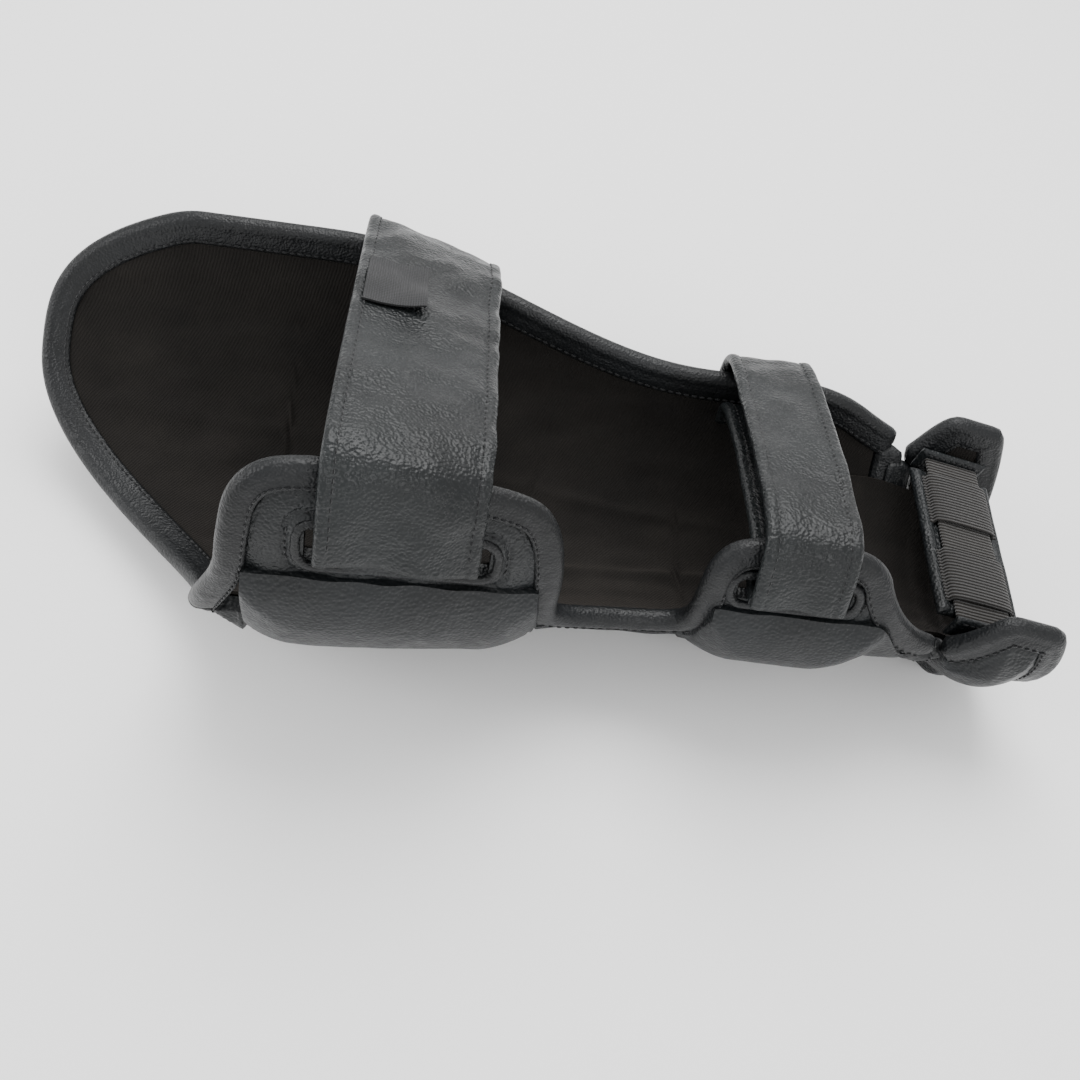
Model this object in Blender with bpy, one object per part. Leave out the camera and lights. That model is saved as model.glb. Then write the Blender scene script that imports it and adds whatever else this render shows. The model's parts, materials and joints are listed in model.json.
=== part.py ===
"""Shin and instep guard, lying on its padded front.

Everything on the shin is modelled in the shin frame: x runs from the knee tip to the ankle,
+y is the outer side, +z points at the leg, and z = 0 is the deepest line of the lining.
The instep part has a frame of its own on the ankle's bending axis, and each strap tail and
the sole pad have one on theirs. The whole is then pitched until it lies on the floor.
"""
import bisect
import math

import bmesh
import bpy
from mathutils import Matrix, Vector

# ---------------------------------------------------------------- driving dimensions (m, degrees)
LAYER_GAP = 0.0004  # between pieces sewn or glued to each other
LINING = 0.0012
SKIN = 0.0014
FOAM = 0.0130  # foam in the middle of a panel
FOAM_EDGE = 0.0040  # foam squeezed at a bound edge
FOAM_RAMP = 0.024  # width over which the foam gets thin
BINDING_RADIUS = 0.0042

SHIN_LENGTH = 0.363
CALF_RADIUS = 0.083
ANKLE_RADIUS = 0.0555
TAPER_START, TAPER_END = 0.118, 0.278
FAR_EDGE = 87.0  # angle of the outer rim, from the deepest line
SEAM = 87.0  # angle of the seam between the padded panel and the wings
LOW_EDGE = 60.0  # angle of the inner rim where there is no wing
ANKLE_CORNER = 69.0
FAR_FALL = 0.319  # from here the outer rim falls to the ankle corner
KNEE_TIP = 44.0  # angle at which the knee end reaches furthest
KNEE_CUT = 0.087  # how far the inner side of the knee end is cut back
KNEE_CUT_REACH = 89.0  # angle over which that cut runs
KNEE_ROUND = 0.055  # how far the outer corner of the knee end is rounded back
KNEE_FULL = 0.104  # from here on the panel has its full width

STRAP = 0.0030
STRAP_EDGE = 0.0050  # width of the bound edge of a strap
STRAP_EDGE_PROUD = 0.0006
TAIL_LIFT = 0.0016  # of a tail over its slot's frame
UPPER_STRAP_X, UPPER_STRAP_WIDTH = 0.1575, 0.056
LOWER_STRAP_X, LOWER_STRAP_WIDTH = 0.3035, 0.036
SLOT_PLAY = 0.0035  # beside a strap in its slot
SLOT_FROM, SLOT_TO = 92.0, 101.0  # angles of a slot's edges
SLOT_MIDDLE = (SLOT_FROM + SLOT_TO) / 2

WING = 0.0049
WING_LINING = 0.0009
UPPER_WING_TOP, LOWER_WING_TOP = 115.5, 113.0
UPPER_WING_BACK, UPPER_WING_FRONT = 0.0580, 0.0555  # from the strap's middle to the wing's ends
LOWER_WING_BACK, LOWER_WING_FRONT = 0.0310, 0.0400
UPPER_WING_CORNER, LOWER_WING_CORNER = 0.018, 0.009
LOWER_WING_SLANT = 0.011  # how much shorter the lower wing is along its rim
SLOT_FRAME = 0.0016  # radius of the corded frame round a slot
HOOK, LOOP = 0.0010, 0.0010
UPPER_TAIL_REACH, LOWER_TAIL_REACH = 0.044, 0.031  # down the outside of the outer rim

BAR_WIDTH, BAR_HEIGHT = 0.030, 0.0050
BAR_START, BAR_END = 0.058, 0.335

ANKLE_GAP = 0.0105  # between the middles of the two ankle bindings
FOOT_BEND = 12.0
FOOT_LENGTH = 0.041
FOOT_RADIUS = 0.0525
FOOT_FAR, FOOT_NEAR, FOOT_DIP = 88.0, 94.0, 66.0
FOOT_CORNER = 0.010
INSTEP_PAD = 0.0045
GUSSET = 0.0016

ELASTIC, ELASTIC_WIDTH = 0.0016, 0.025
STIRRUP_X, STIRRUP_HEIGHT = 0.0145, 0.037
SOLE_PAD, SOLE_PAD_WIDTH, SOLE_PAD_LENGTH = 0.0040, 0.038, 0.078
KEEPER, KEEPER_WIDTH, KEEPER_OFFSET = 0.0012, 0.026, 0.0205
ANCHOR, ANCHOR_BELOW = 0.0030, 0.0060  # thickness, length below the elastic
SLIDE_PLAY = 0.0006

LABEL_WIDTH, LABEL_LENGTH, LABEL = 0.021, 0.036, 0.0006

# ---------------------------------------------------------------- layers, as offsets from the lining
FOAM_FACE = LINING + LAYER_GAP
EDGE_BACK = FOAM_FACE + FOAM_EDGE + LAYER_GAP + SKIN
EDGE_MIDDLE = EDGE_BACK / 2
HINGE_DEPTH = EDGE_MIDDLE  # the bending axis, below the lining's deepest line
FULL_BACK = FOAM_FACE + FOAM + LAYER_GAP + SKIN
SETBACK = BINDING_RADIUS + LAYER_GAP
WING_BACK = WING_LINING + LAYER_GAP + WING


def clear_scene():
    for obj in list(bpy.data.objects):
        bpy.data.objects.remove(obj, do_unlink=True)


def smooth(t):
    t = min(max(t, 0.0), 1.0)
    return t * t * (3 - 2 * t)


def mix(a, b, t):
    return a + (b - a) * t


# ---------------------------------------------------------------- materials
def make_material(name, colour, roughness, sheen=0.0):
    mat = bpy.data.materials.new(name)
    mat.use_nodes = True
    shader = mat.node_tree.nodes["Principled BSDF"]
    shader.inputs["Base Color"].default_value = (*colour, 1)
    shader.inputs["Roughness"].default_value = roughness
    shader.inputs["Metallic"].default_value = 0.0
    shader.inputs["Sheen Weight"].default_value = sheen
    return mat


# ---------------------------------------------------------------- the two curved surfaces
def shin_radius(x):
    return mix(CALF_RADIUS, ANKLE_RADIUS, smooth((x - TAPER_START) / (TAPER_END - TAPER_START)))


def on_section(radius, degrees, out):
    """(y, z) at an angle from the deepest line, out metres outside the lining's inner face."""
    angle = math.radians(degrees)
    reach = radius + out
    return reach * math.sin(angle), radius - reach * math.cos(angle)


def on_shin(x, degrees, out):
    return Vector((x, *on_section(shin_radius(x), degrees, out)))


def on_foot(x, degrees, out):
    return Vector((x, *on_section(FOOT_RADIUS, degrees, out)))


def degrees_for(length, radius):
    return math.degrees(length / radius)


# ---------------------------------------------------------------- building blocks
def add_mesh(name, bm, material, parent):
    bmesh.ops.triangulate(bm, faces=bm.faces[:])
    bmesh.ops.recalc_face_normals(bm, faces=bm.faces)
    if bm.calc_volume(signed=True) < 0:
        bmesh.ops.reverse_faces(bm, faces=bm.faces)
    mesh = bpy.data.meshes.new(name)
    bm.to_mesh(mesh)
    bm.free()
    obj = bpy.data.objects.new(name, mesh)
    obj.data.materials.append(material)
    obj.parent = parent
    bpy.context.scene.collection.objects.link(obj)
    return obj


def shell(name, us, vs, outer, inner, material, parent, hole=None):
    """A closed curved sheet: a grid laid on one surface and extruded to another.
    hole is (u from, u to, v from, v to) of a window through it."""
    bm = bmesh.new()
    bmesh.ops.create_grid(bm, x_segments=len(us) - 1, y_segments=len(vs) - 1, size=0.5)
    place = bm.verts.layers.float_vector.new("place")
    for vert in bm.verts:
        i = round((vert.co.x + 0.5) * (len(us) - 1))
        j = round((vert.co.y + 0.5) * (len(vs) - 1))
        vert[place] = (us[i], vs[j], 0)
    if hole:
        inside = []
        for face in bm.faces:
            middle = sum((vert[place] for vert in face.verts), Vector()) / len(face.verts)
            if hole[0] < middle.x < hole[1] and hole[2] < middle.y < hole[3]:
                inside.append(face)
        bmesh.ops.delete(bm, geom=inside, context="FACES")
    made = bmesh.ops.extrude_face_region(bm, geom=bm.faces[:])
    extruded = [item for item in made["geom"] if isinstance(item, bmesh.types.BMVert)]
    for vert in bm.verts:
        vert.co = outer(vert[place].x, vert[place].y)
    for vert in extruded:
        vert.co = inner(vert[place].x, vert[place].y)
    obj = add_mesh(name, bm, material, parent)
    obj.data.shade_smooth()
    return obj


def spread(stops, step):
    """The stops, with further values between them no more than a step apart."""
    values = [stops[0]]
    for a, b in zip(stops, stops[1:]):
        count = max(1, math.ceil((b - a) / step - 1e-6))
        values += [mix(a, b, k / count) for k in range(1, count + 1)]
    return values


def rounded(points, rounds=2):
    """Cuts the corners of an open line, keeping its ends."""
    for _ in range(rounds):
        cut = [points[0]]
        for a, b in zip(points, points[1:]):
            cut += [a.lerp(b, 0.25), a.lerp(b, 0.75)]
        points = cut + [points[-1]]
    return points


def evenly(points, step=0.0, count=0):
    """The same line with its points about a step apart, or with a given number of stretches."""
    along = [0.0]
    for a, b in zip(points, points[1:]):
        along.append(along[-1] + (b - a).length)
    count = count or max(2, round(along[-1] / step))
    result = []
    for k in range(count + 1):
        reach = along[-1] * k / count
        i = min(max(bisect.bisect_right(along, reach) - 1, 0), len(points) - 2)
        result.append(points[i].lerp(points[i + 1], (reach - along[i]) / (along[i + 1] - along[i])))
    return result


def tube(name, points, radius, material, parent, closed=False):
    curve = bpy.data.curves.new(name, "CURVE")
    curve.dimensions = "3D"
    curve.bevel_depth = radius
    curve.bevel_resolution = 1
    curve.use_fill_caps = True
    spline = curve.splines.new("POLY")
    spline.points.add(len(points) - 1)
    for target, point in zip(spline.points, points):
        target.co = (*point, 1)
    spline.use_cyclic_u = closed
    obj = bpy.data.objects.new(name, curve)
    obj.data.materials.append(material)
    obj.parent = parent
    bpy.context.scene.collection.objects.link(obj)
    return obj


def ribbon_side(line, thickness):
    """The two faces of a strap seen from its edge, as one closed outline round its middle line."""
    sides = [[], []]
    for k, point in enumerate(line):
        before, after = line[max(k - 1, 0)], line[min(k + 1, len(line) - 1)]
        direction = (after - before).normalized()
        normal = Vector((-direction.y, direction.x))
        turn = 1.0
        if 0 < k < len(line) - 1:
            turn = max(0.7, abs((point - before).normalized().dot(direction)))
        for side, sign in zip(sides, (1, -1)):
            side.append(point + normal * (sign * thickness / 2 / turn))
    return sides[0] + sides[1][::-1]


def ribbon(name, lines, along, thickness, material, parent, across="x", shift=(0, 0)):
    """A strap: the outline on one of its edges extruded to the outline on the other.
    lines are its middle lines there, as (y, z) with across x and as (x, z) with across y."""
    outlines = [ribbon_side(line, thickness) for line in lines]
    placed = []
    for place, outline in zip(along, outlines):
        if across == "x":
            placed.append([Vector((place, p.x + shift[0], p.y + shift[1])) for p in outline])
        else:
            placed.append([Vector((p.x + shift[0], place, p.y + shift[1])) for p in outline])
    bm = bmesh.new()
    number = bm.verts.layers.int.new("number")
    verts = [bm.verts.new(point) for point in placed[0]]
    for k, vert in enumerate(verts):
        vert[number] = k
    count = len(lines[0])
    for k in range(count - 1):
        bm.faces.new((verts[k], verts[k + 1], verts[2 * count - 2 - k], verts[2 * count - 1 - k]))
    made = bmesh.ops.extrude_face_region(bm, geom=bm.faces[:])
    for item in made["geom"]:
        if isinstance(item, bmesh.types.BMVert):
            item.co = placed[1][item[number]]
    return add_mesh(name, bm, material, parent)


def plate(name, low, high, material, parent, bevel=0.0):
    """A flat piece between two corners, with its long edges rounded."""
    bm = bmesh.new()
    middle = (Vector(low) + Vector(high)) / 2
    size = Vector(high) - Vector(low)
    bmesh.ops.create_cube(bm, size=1, matrix=Matrix.Translation(middle) @ Matrix.Diagonal((*size, 1)))
    if bevel:
        bmesh.ops.bevel(bm, geom=bm.edges[:], offset=bevel, segments=1, affect="EDGES")
    return add_mesh(name, bm, material, parent)


def add_empty(name, parent, location=(0, 0, 0), rotation=(0, 0, 0)):
    empty = bpy.data.objects.new(name, None)
    empty.parent = parent
    empty.location = location
    empty.rotation_euler = rotation
    bpy.context.scene.collection.objects.link(empty)
    return empty


# ---------------------------------------------------------------- shin panel
UPPER_WING = (UPPER_STRAP_X - UPPER_WING_BACK, UPPER_STRAP_X + UPPER_WING_FRONT)
LOWER_WING = (LOWER_STRAP_X - LOWER_WING_BACK, LOWER_STRAP_X + LOWER_WING_FRONT)


def far_edge(x, inset=0.0):
    """Angle of the outer rim, or of a line inside it by a distance square to it."""
    t = min(max((x - FAR_FALL) / (SHIN_LENGTH - FAR_FALL), 0.0), 1.0)
    drop = math.radians(FAR_EDGE - ANKLE_CORNER) * ANKLE_RADIUS
    slope = 2 * t * drop / (SHIN_LENGTH - FAR_FALL)
    angle = mix(FAR_EDGE, ANKLE_CORNER, t * t)
    return angle - degrees_for(inset * math.hypot(1, slope), shin_radius(x))


def knee_end(degrees):
    """x of the knee end's outline: an S-shaped cut on the inner side, a round outer corner."""
    if degrees < KNEE_TIP:
        return KNEE_CUT * smooth((KNEE_TIP - degrees) / KNEE_CUT_REACH)
    return KNEE_ROUND * ((degrees - KNEE_TIP) / (FAR_EDGE - KNEE_TIP)) ** 3


def near_edge(x):
    """Angle of the padded panel's inner edge, kept clear of the binding beside the wings."""
    low = LOW_EDGE - degrees_for(SETBACK, shin_radius(x))
    seam = SEAM - degrees_for(LAYER_GAP, shin_radius(x))
    corner = ANKLE_CORNER - degrees_for(SETBACK, shin_radius(x))
    if x < UPPER_WING[0] + SETBACK:
        return low
    if x < UPPER_WING[1]:
        rise = smooth((x - UPPER_WING[0] - SETBACK) / 0.006)
        return mix(low, seam, min(rise, smooth((UPPER_WING[1] - SETBACK - x) / 0.010)))
    if x < LOWER_WING[1] - SETBACK:
        return mix(low, seam, smooth((x - LOWER_WING[0] - SETBACK) / 0.010))
    return mix(seam, corner, smooth((x - LOWER_WING[1] + SETBACK) / (SHIN_LENGTH - LOWER_WING[1])))


def panel_place(u, v):
    """(x, degrees) on the padded panel; v is x itself once past the knee end."""
    if v >= KNEE_FULL:
        return v, mix(-near_edge(v), far_edge(v, SETBACK), u)
    degrees = mix(-near_edge(0), far_edge(0, SETBACK), u)
    slope = (knee_end(degrees + 1) - knee_end(degrees - 1)) / (math.radians(2) * CALF_RADIUS)
    edge = knee_end(degrees) + SETBACK * 1.1 * math.hypot(1, slope)
    return mix(edge, KNEE_FULL, v / KNEE_FULL), degrees


def panel_foam(u, v):
    """Foam thickness: full in the middle, squeezed towards every bound edge."""
    x, degrees = panel_place(u, v)
    width = math.radians(near_edge(x) + far_edge(x)) * shin_radius(x)
    start = panel_place(u, 0)[0]
    distance = min(u * width, (1 - u) * width, x - start, SHIN_LENGTH - SETBACK - x)
    return mix(FOAM_EDGE, FOAM, math.sqrt(smooth(distance / FOAM_RAMP)))


def panel_at(u, v, out):
    return on_shin(*panel_place(u, v), out)


def add_shin_panel(root, leather, foam, cloth):
    us = [0.0, 0.045, 0.12, 0.22, 0.33, 0.44, 0.56, 0.67, 0.78, 0.88, 0.955, 1.0]
    stops = [KNEE_FULL, UPPER_WING[1] - SETBACK - 0.010, UPPER_WING[1] - SETBACK,
             LOWER_WING[0] + SETBACK, LOWER_WING[0] + SETBACK + 0.010,
             LOWER_WING[1] - SETBACK, SHIN_LENGTH - SETBACK]
    knee = [KNEE_FULL * k for k in (0, 0.12, 0.27, 0.45, 0.63, 0.82)]
    vs = knee + spread(stops, 0.020)
    shell("shin_lining", us, vs, lambda u, v: panel_at(u, v, LINING),
          lambda u, v: panel_at(u, v, 0), cloth, root)
    shell("shin_foam_core", us, vs, lambda u, v: panel_at(u, v, FOAM_FACE + panel_foam(u, v)),
          lambda u, v: panel_at(u, v, FOAM_FACE), foam, root)

    def skin_face(u, v):
        return FOAM_FACE + panel_foam(u, v) + LAYER_GAP

    shell("shin_cover", us, vs, lambda u, v: panel_at(u, v, skin_face(u, v) + SKIN),
          lambda u, v: panel_at(u, v, skin_face(u, v)), leather, root)


def add_front_bar(root, leather):
    """The raised bar down the front, with a flat face."""
    half = BAR_WIDTH / 2
    us = [-1, -0.5, 0, 0.5, 1]
    vs = spread([BAR_START, BAR_END], 0.028)

    def on_cover(u, x):
        radius = shin_radius(x)
        slope = math.asin(u * half / (radius + FULL_BACK))
        return on_shin(x, math.degrees(slope), FULL_BACK + LAYER_GAP)

    def flat(u, x):
        inset = 0.0035 * (1 if x in (vs[0], vs[-1]) else 0)
        shifted = x + inset * (1 if x == vs[0] else -1)
        return Vector((shifted, u * (half - 0.003), -FULL_BACK - LAYER_GAP - BAR_HEIGHT))

    return shell("shin_front_bar", us, vs, flat, on_cover, leather, root)


# ---------------------------------------------------------------- wings with their strap slots
def wing_ends(span, corner, slant, v):
    """x of a wing's two ends, v of the way up from its seam to its rim."""
    round_off = corner * (1 - math.sqrt(max(0.0, 1 - v * v)))
    left = span[0] + SETBACK * 1.15 + round_off
    right = span[1] - SETBACK * 1.3 - slant * v - (0.002 * v if slant else round_off)
    return left, right


def add_wing(name, span, top, corner, slant, strap_x, strap_width, root, leather, cloth):
    slot = (strap_x - strap_width / 2 - SLOT_PLAY, strap_x + strap_width / 2 + SLOT_PLAY)
    radius = shin_radius(strap_x)
    rim = top - degrees_for(SETBACK * 1.1, radius)
    seam = SEAM + degrees_for(LAYER_GAP, radius)
    us = [0, 0.5, 1, 1.17, 1.34, 1.5, 1.67, 1.84, 2, 2.5, 3]
    vs = [seam, SLOT_FROM, SLOT_MIDDLE, SLOT_TO, (SLOT_TO + rim) / 2, rim]

    def at(u, degrees, out):
        left, right = wing_ends(span, corner, slant, max(0.0, (degrees - SEAM) / (rim - SEAM)))
        low, high = max(slot[0], left + 0.002), min(slot[1], right - 0.002)
        x = (mix(left, low, u) if u < 1 else mix(low, high, u - 1) if u < 2
             else mix(high, right, u - 2))
        return on_shin(x, -degrees, out)

    window = (1, 2, SLOT_FROM, SLOT_TO)
    face = WING_LINING + LAYER_GAP
    shell(f"{name}_wing_lining", us, vs, lambda u, v: at(u, v, WING_LINING),
          lambda u, v: at(u, v, 0), cloth, root, window)
    shell(f"{name}_wing_panel", us, vs, lambda u, v: at(u, v, face + WING),
          lambda u, v: at(u, v, face), leather, root, window)
    add_slot_frame(name, slot, root, leather)


def add_slot_frame(name, slot, root, leather):
    """A corded oval round the slot, standing on the wing's outer face."""
    out = WING_BACK + 2 * LAYER_GAP + SLOT_FRAME
    margin = SLOT_FRAME + 0.0012
    middle_x = (slot[0] + slot[1]) / 2
    radius = shin_radius(middle_x)
    rise = math.radians(SLOT_TO - SLOT_FROM) * radius / 2 + margin
    half = (slot[1] - slot[0]) / 2 + margin
    corner = min(rise, 0.006)
    oval = []
    for side_x, side_a, start in ((1, 1, 0), (-1, 1, 90), (-1, -1, 180), (1, -1, 270)):
        for turn in (0, 30, 60, 90):
            angle = math.radians(start + turn)
            oval.append(Vector((side_x * (half - corner) + corner * math.cos(angle),
                                side_a * (rise - corner) + corner * math.sin(angle))))
    points = []
    for a, b in zip(oval, oval[1:] + oval[:1]):
        count = max(1, round((b - a).length / 0.010))
        for k in range(count):
            at = a.lerp(b, k / count)
            degrees = SLOT_MIDDLE + degrees_for(at.y, radius)
            points.append(on_shin(middle_x + at.x, -degrees, out))
    tube(f"{name}_slot_frame", points, SLOT_FRAME, leather, root, closed=True)


# ---------------------------------------------------------------- bindings round the shin panel
def rim_point(x, degrees):
    return on_shin(x, degrees, EDGE_MIDDLE)


def add_shin_bindings(root, leather):
    start = LOW_EDGE - 2
    knee = [rim_point(knee_end(a), a) for a in spread([-start, KNEE_TIP, FAR_EDGE], 5)]
    side = [rim_point(x, far_edge(x)) for x in spread([KNEE_ROUND + 0.02, FAR_FALL], 0.02)]
    end = SHIN_LENGTH + BINDING_RADIUS
    side += [rim_point(x, far_edge(x)) for x in spread([FAR_FALL + 0.01, end], 0.01)]
    path = evenly(rounded(knee + side, 2), 0.0100)
    tube("knee_rim_binding", path, BINDING_RADIUS, leather, root)

    low = LOW_EDGE
    back, front = UPPER_WING
    top = UPPER_WING_TOP
    key = [(KNEE_CUT, start + 1.2), (KNEE_CUT + 0.004, low + 8), (back, SEAM - 4),
           (back + 0.001, SEAM + 8), (back + 0.004, top - 6),
           (back + UPPER_WING_CORNER, top), (UPPER_STRAP_X, top),
           (front - UPPER_WING_CORNER + 0.004, top), (front - 0.004, top - 7),
           (front, SEAM + 4), (front, low + 12), (front + 0.004, low + 2),
           (mix(front, LOWER_WING[0], 0.5), low - 1), (LOWER_WING[0] - 0.006, low + 1),
           (LOWER_WING[0], low + 12), (LOWER_WING[0], SEAM + 4)]
    back, front = LOWER_WING
    top = LOWER_WING_TOP
    key += [(back + 0.001, top - 8), (back + LOWER_WING_CORNER, top), (LOWER_STRAP_X, top),
            (front - LOWER_WING_SLANT - 0.002, top), (front - 0.004, SEAM + 6),
            (mix(front, SHIN_LENGTH, 0.6), mix(SEAM, ANKLE_CORNER, 0.7)),
            (SHIN_LENGTH + BINDING_RADIUS, ANKLE_CORNER)]
    near = [rim_point(x, -a) for x, a in key]
    tube("near_rim_binding", evenly(rounded(near, 2), 0.0085), BINDING_RADIUS, leather, root)

    inset = degrees_for(2 * BINDING_RADIUS + LAYER_GAP, ANKLE_RADIUS)
    corner = ANKLE_CORNER - inset
    ankle = [rim_point(SHIN_LENGTH, a) for a in spread([-corner, corner], 9)]
    tube("ankle_edge_binding", ankle, BINDING_RADIUS, leather, root)


# ---------------------------------------------------------------- straps
PATCH_STACK = 3 * LAYER_GAP + LOOP + HOOK
TAIL_OUT = WING_BACK + 2 * LAYER_GAP + 2 * SLOT_FRAME + STRAP / 2 + STRAP_EDGE_PROUD + TAIL_LIFT


def strap_line(x, stops, count):
    """A strap's middle line in the section at x, through stops of (degrees, offset)."""
    corners = [Vector(on_section(shin_radius(x), a, out)) for a, out in stops]
    return evenly(rounded(corners, 2), count=count)


def cover_out(x, degrees):
    """The cover's outer face beside the outer rim."""
    distance = math.radians(FAR_EDGE - degrees) * shin_radius(x) - SETBACK
    return EDGE_BACK + (FOAM - FOAM_EDGE) * math.sqrt(smooth(distance / FOAM_RAMP))


def base_line(x, top):
    """From under the lining's outer rim to the wing, down its inside and out of its slot."""
    radius = shin_radius(x)
    inside = -STRAP / 2 - 0.0014
    past_rim = EDGE_MIDDLE - BINDING_RADIUS + inside
    stops = [(FAR_EDGE - degrees_for(0.016, radius), inside),
             (FAR_EDGE - degrees_for(0.001, radius), past_rim),
             (-top + degrees_for(0.001, radius), past_rim), (-SLOT_TO, inside),
             (-SLOT_MIDDLE, inside + 0.001), (-SLOT_MIDDLE, 0.002),
             (-SLOT_MIDDLE, TAIL_OUT - STRAP / 2 - LAYER_GAP)]
    return strap_line(x, stops, 36)


def tail_line(x, top, reach):
    """From the slot up over the wing, across the leg opening and down the outside."""
    radius = shin_radius(x)
    past = degrees_for(BINDING_RADIUS + STRAP / 2 + 0.0022, radius)
    rim_out = EDGE_MIDDLE + BINDING_RADIUS + STRAP / 2 + 0.0022
    stops = [(-SLOT_MIDDLE, TAIL_OUT), (-top + 2, TAIL_OUT), (-top - past - 3, TAIL_OUT),
             (FAR_EDGE + past + 4, rim_out), (FAR_EDGE, rim_out)]
    for arc in spread([0.010, reach], 0.006):
        degrees = FAR_EDGE - degrees_for(arc, radius)
        stops.append((degrees, cover_out(x, degrees) + PATCH_STACK + STRAP / 2 + TAIL_LIFT))
    return strap_line(x, stops, 46)


def peel_axis(x):
    """(y, z) of the fold at the slot, about which the tail opens."""
    return Vector(on_section(shin_radius(x), -SLOT_MIDDLE, TAIL_OUT))


def add_strap(name, x, width, top, reach, root, tail_frame, leather, hook, loop):
    half = width / 2
    inner = half - STRAP_EDGE - LAYER_GAP
    edges = {"rear": (-half, STRAP_EDGE - half), "front": (half - STRAP_EDGE, half)}

    def base(at):
        return base_line(x + at, top)

    def tail(at):
        return tail_line(x + at, top, reach)

    ribbon(f"{name}_strap_base", (base(-inner), base(inner)), (x - inner, x + inner), STRAP,
           leather, root)
    for end, edge in edges.items():
        ribbon(f"{name}_base_{end}_binding", [base(at)[2:26] for at in edge],
               [x + at for at in edge], STRAP + STRAP_EDGE_PROUD, leather, root)

    axis = peel_axis(x)
    shift = (-axis.x, -axis.y)
    ribbon(f"{name}_strap_tail", (tail(-inner), tail(inner)), (-inner, inner), STRAP, leather,
           tail_frame, shift=shift)
    for end, edge in edges.items():
        ribbon(f"{name}_tail_{end}_binding", [tail(at)[2:] for at in edge], edge,
               STRAP + 2 * STRAP_EDGE_PROUD, leather, tail_frame, shift=shift)
    add_patches(name, x, inner - 0.003, reach, root, tail_frame, hook, loop)


def add_patches(name, x, half, reach, root, tail_frame, hook, loop):
    """Loop tape sewn to the cover's outside, and the hook tape under the tail's end."""
    radius = shin_radius(x)
    arcs = spread([0.0105, reach], 0.007)
    fold = Vector((x, *peel_axis(x)))

    def face(u, arc, out, reach_x):
        at = x + u * reach_x
        degrees = FAR_EDGE - degrees_for(arc, radius)
        return Vector((at, *on_section(shin_radius(at), degrees, cover_out(at, degrees) + out)))

    across = [-1, -0.5, 0, 0.5, 1]
    low = 2 * LAYER_GAP
    shell(f"{name}_loop_patch", across, arcs, lambda u, a: face(u, a, low + LOOP, half + 0.010),
          lambda u, a: face(u, a, low, half + 0.010), loop, root)
    low += LAYER_GAP + LOOP
    shell(f"{name}_hook_patch", across, arcs, lambda u, a: face(u, a, low + HOOK, half) - fold,
          lambda u, a: face(u, a, low, half) - fold, hook, tail_frame)


def add_label(frame, cloth):
    """The woven size label on top of the upper tail, beside its rear edge."""
    rear = STRAP_EDGE + 0.001 - UPPER_STRAP_WIDTH / 2
    lines = []
    for at in (rear, rear + LABEL_WIDTH):
        tail = tail_line(UPPER_STRAP_X + at, UPPER_WING_TOP, UPPER_TAIL_REACH)
        near, far = tail[21], tail[27]
        up = Vector((near.y - far.y, far.x - near.x)).normalized()
        lift = up * (STRAP / 2 + STRAP_EDGE_PROUD + LABEL)
        lines.append([near.lerp(far, k / 4) + lift for k in range(5)])
    axis = peel_axis(UPPER_STRAP_X)
    ribbon("size_label", lines, (rear, rear + LABEL_WIDTH), LABEL, cloth, frame,
           shift=(-axis.x, -axis.y))


# ---------------------------------------------------------------- instep part
def foot_start(degrees):
    """x of the instep part's ankle edge: a mitre, parallel to the shin's edge."""
    _, z = on_section(FOOT_RADIUS, degrees, 0)
    bend = math.radians(FOOT_BEND)
    return (ANKLE_GAP / 2 - (z + HINGE_DEPTH) * math.sin(bend)) / math.cos(bend)


def foot_side(v, wing, inset):
    """Angle of a side's edge: low beside the ankle, high on the wing."""
    t = min(v / 0.45, 1.0)
    rise = math.radians(wing - FOOT_DIP) * FOOT_RADIUS
    slope = rise * 6 * t * (1 - t) / (0.45 * FOOT_LENGTH)
    trim = 1.12 * math.hypot(1, slope)
    return mix(FOOT_DIP, wing, smooth(t)) - degrees_for(inset * trim, FOOT_RADIUS)


def foot_end(w, inset):
    """x of the toe rim: straight over the instep, round towards the wings' tips."""
    corner = max(0.0, (abs(2 * w - 1) - 0.62) / 0.38)
    return FOOT_LENGTH - FOOT_CORNER * corner ** 2 - inset


def foot_place(u, v, inset):
    """(x, degrees) on the instep part; v runs from its ankle edge to the toe rim."""
    trim = degrees_for(inset, FOOT_RADIUS)
    start = foot_start(mix(trim - FOOT_DIP, FOOT_DIP - trim, u)) + inset * 1.1
    x = mix(start, foot_end(u, inset), v)
    return x, mix(-foot_side(v, FOOT_NEAR, inset), foot_side(v, FOOT_FAR, inset), u)


def foot_foam(u, v):
    arc = math.radians(FOOT_FAR + FOOT_NEAR) * FOOT_RADIUS
    length = FOOT_LENGTH
    distance = min(u * arc, (1 - u) * arc, v * length, (1 - v) * length)
    return mix(FOAM_EDGE, FOAM * 0.8, math.sqrt(smooth(distance / (FOAM_RAMP * 0.8))))


def foot_at(u, v, out):
    x, degrees = foot_place(u, v, SETBACK)
    point = on_foot(x, degrees, out)
    point.z += HINGE_DEPTH
    return point


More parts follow.
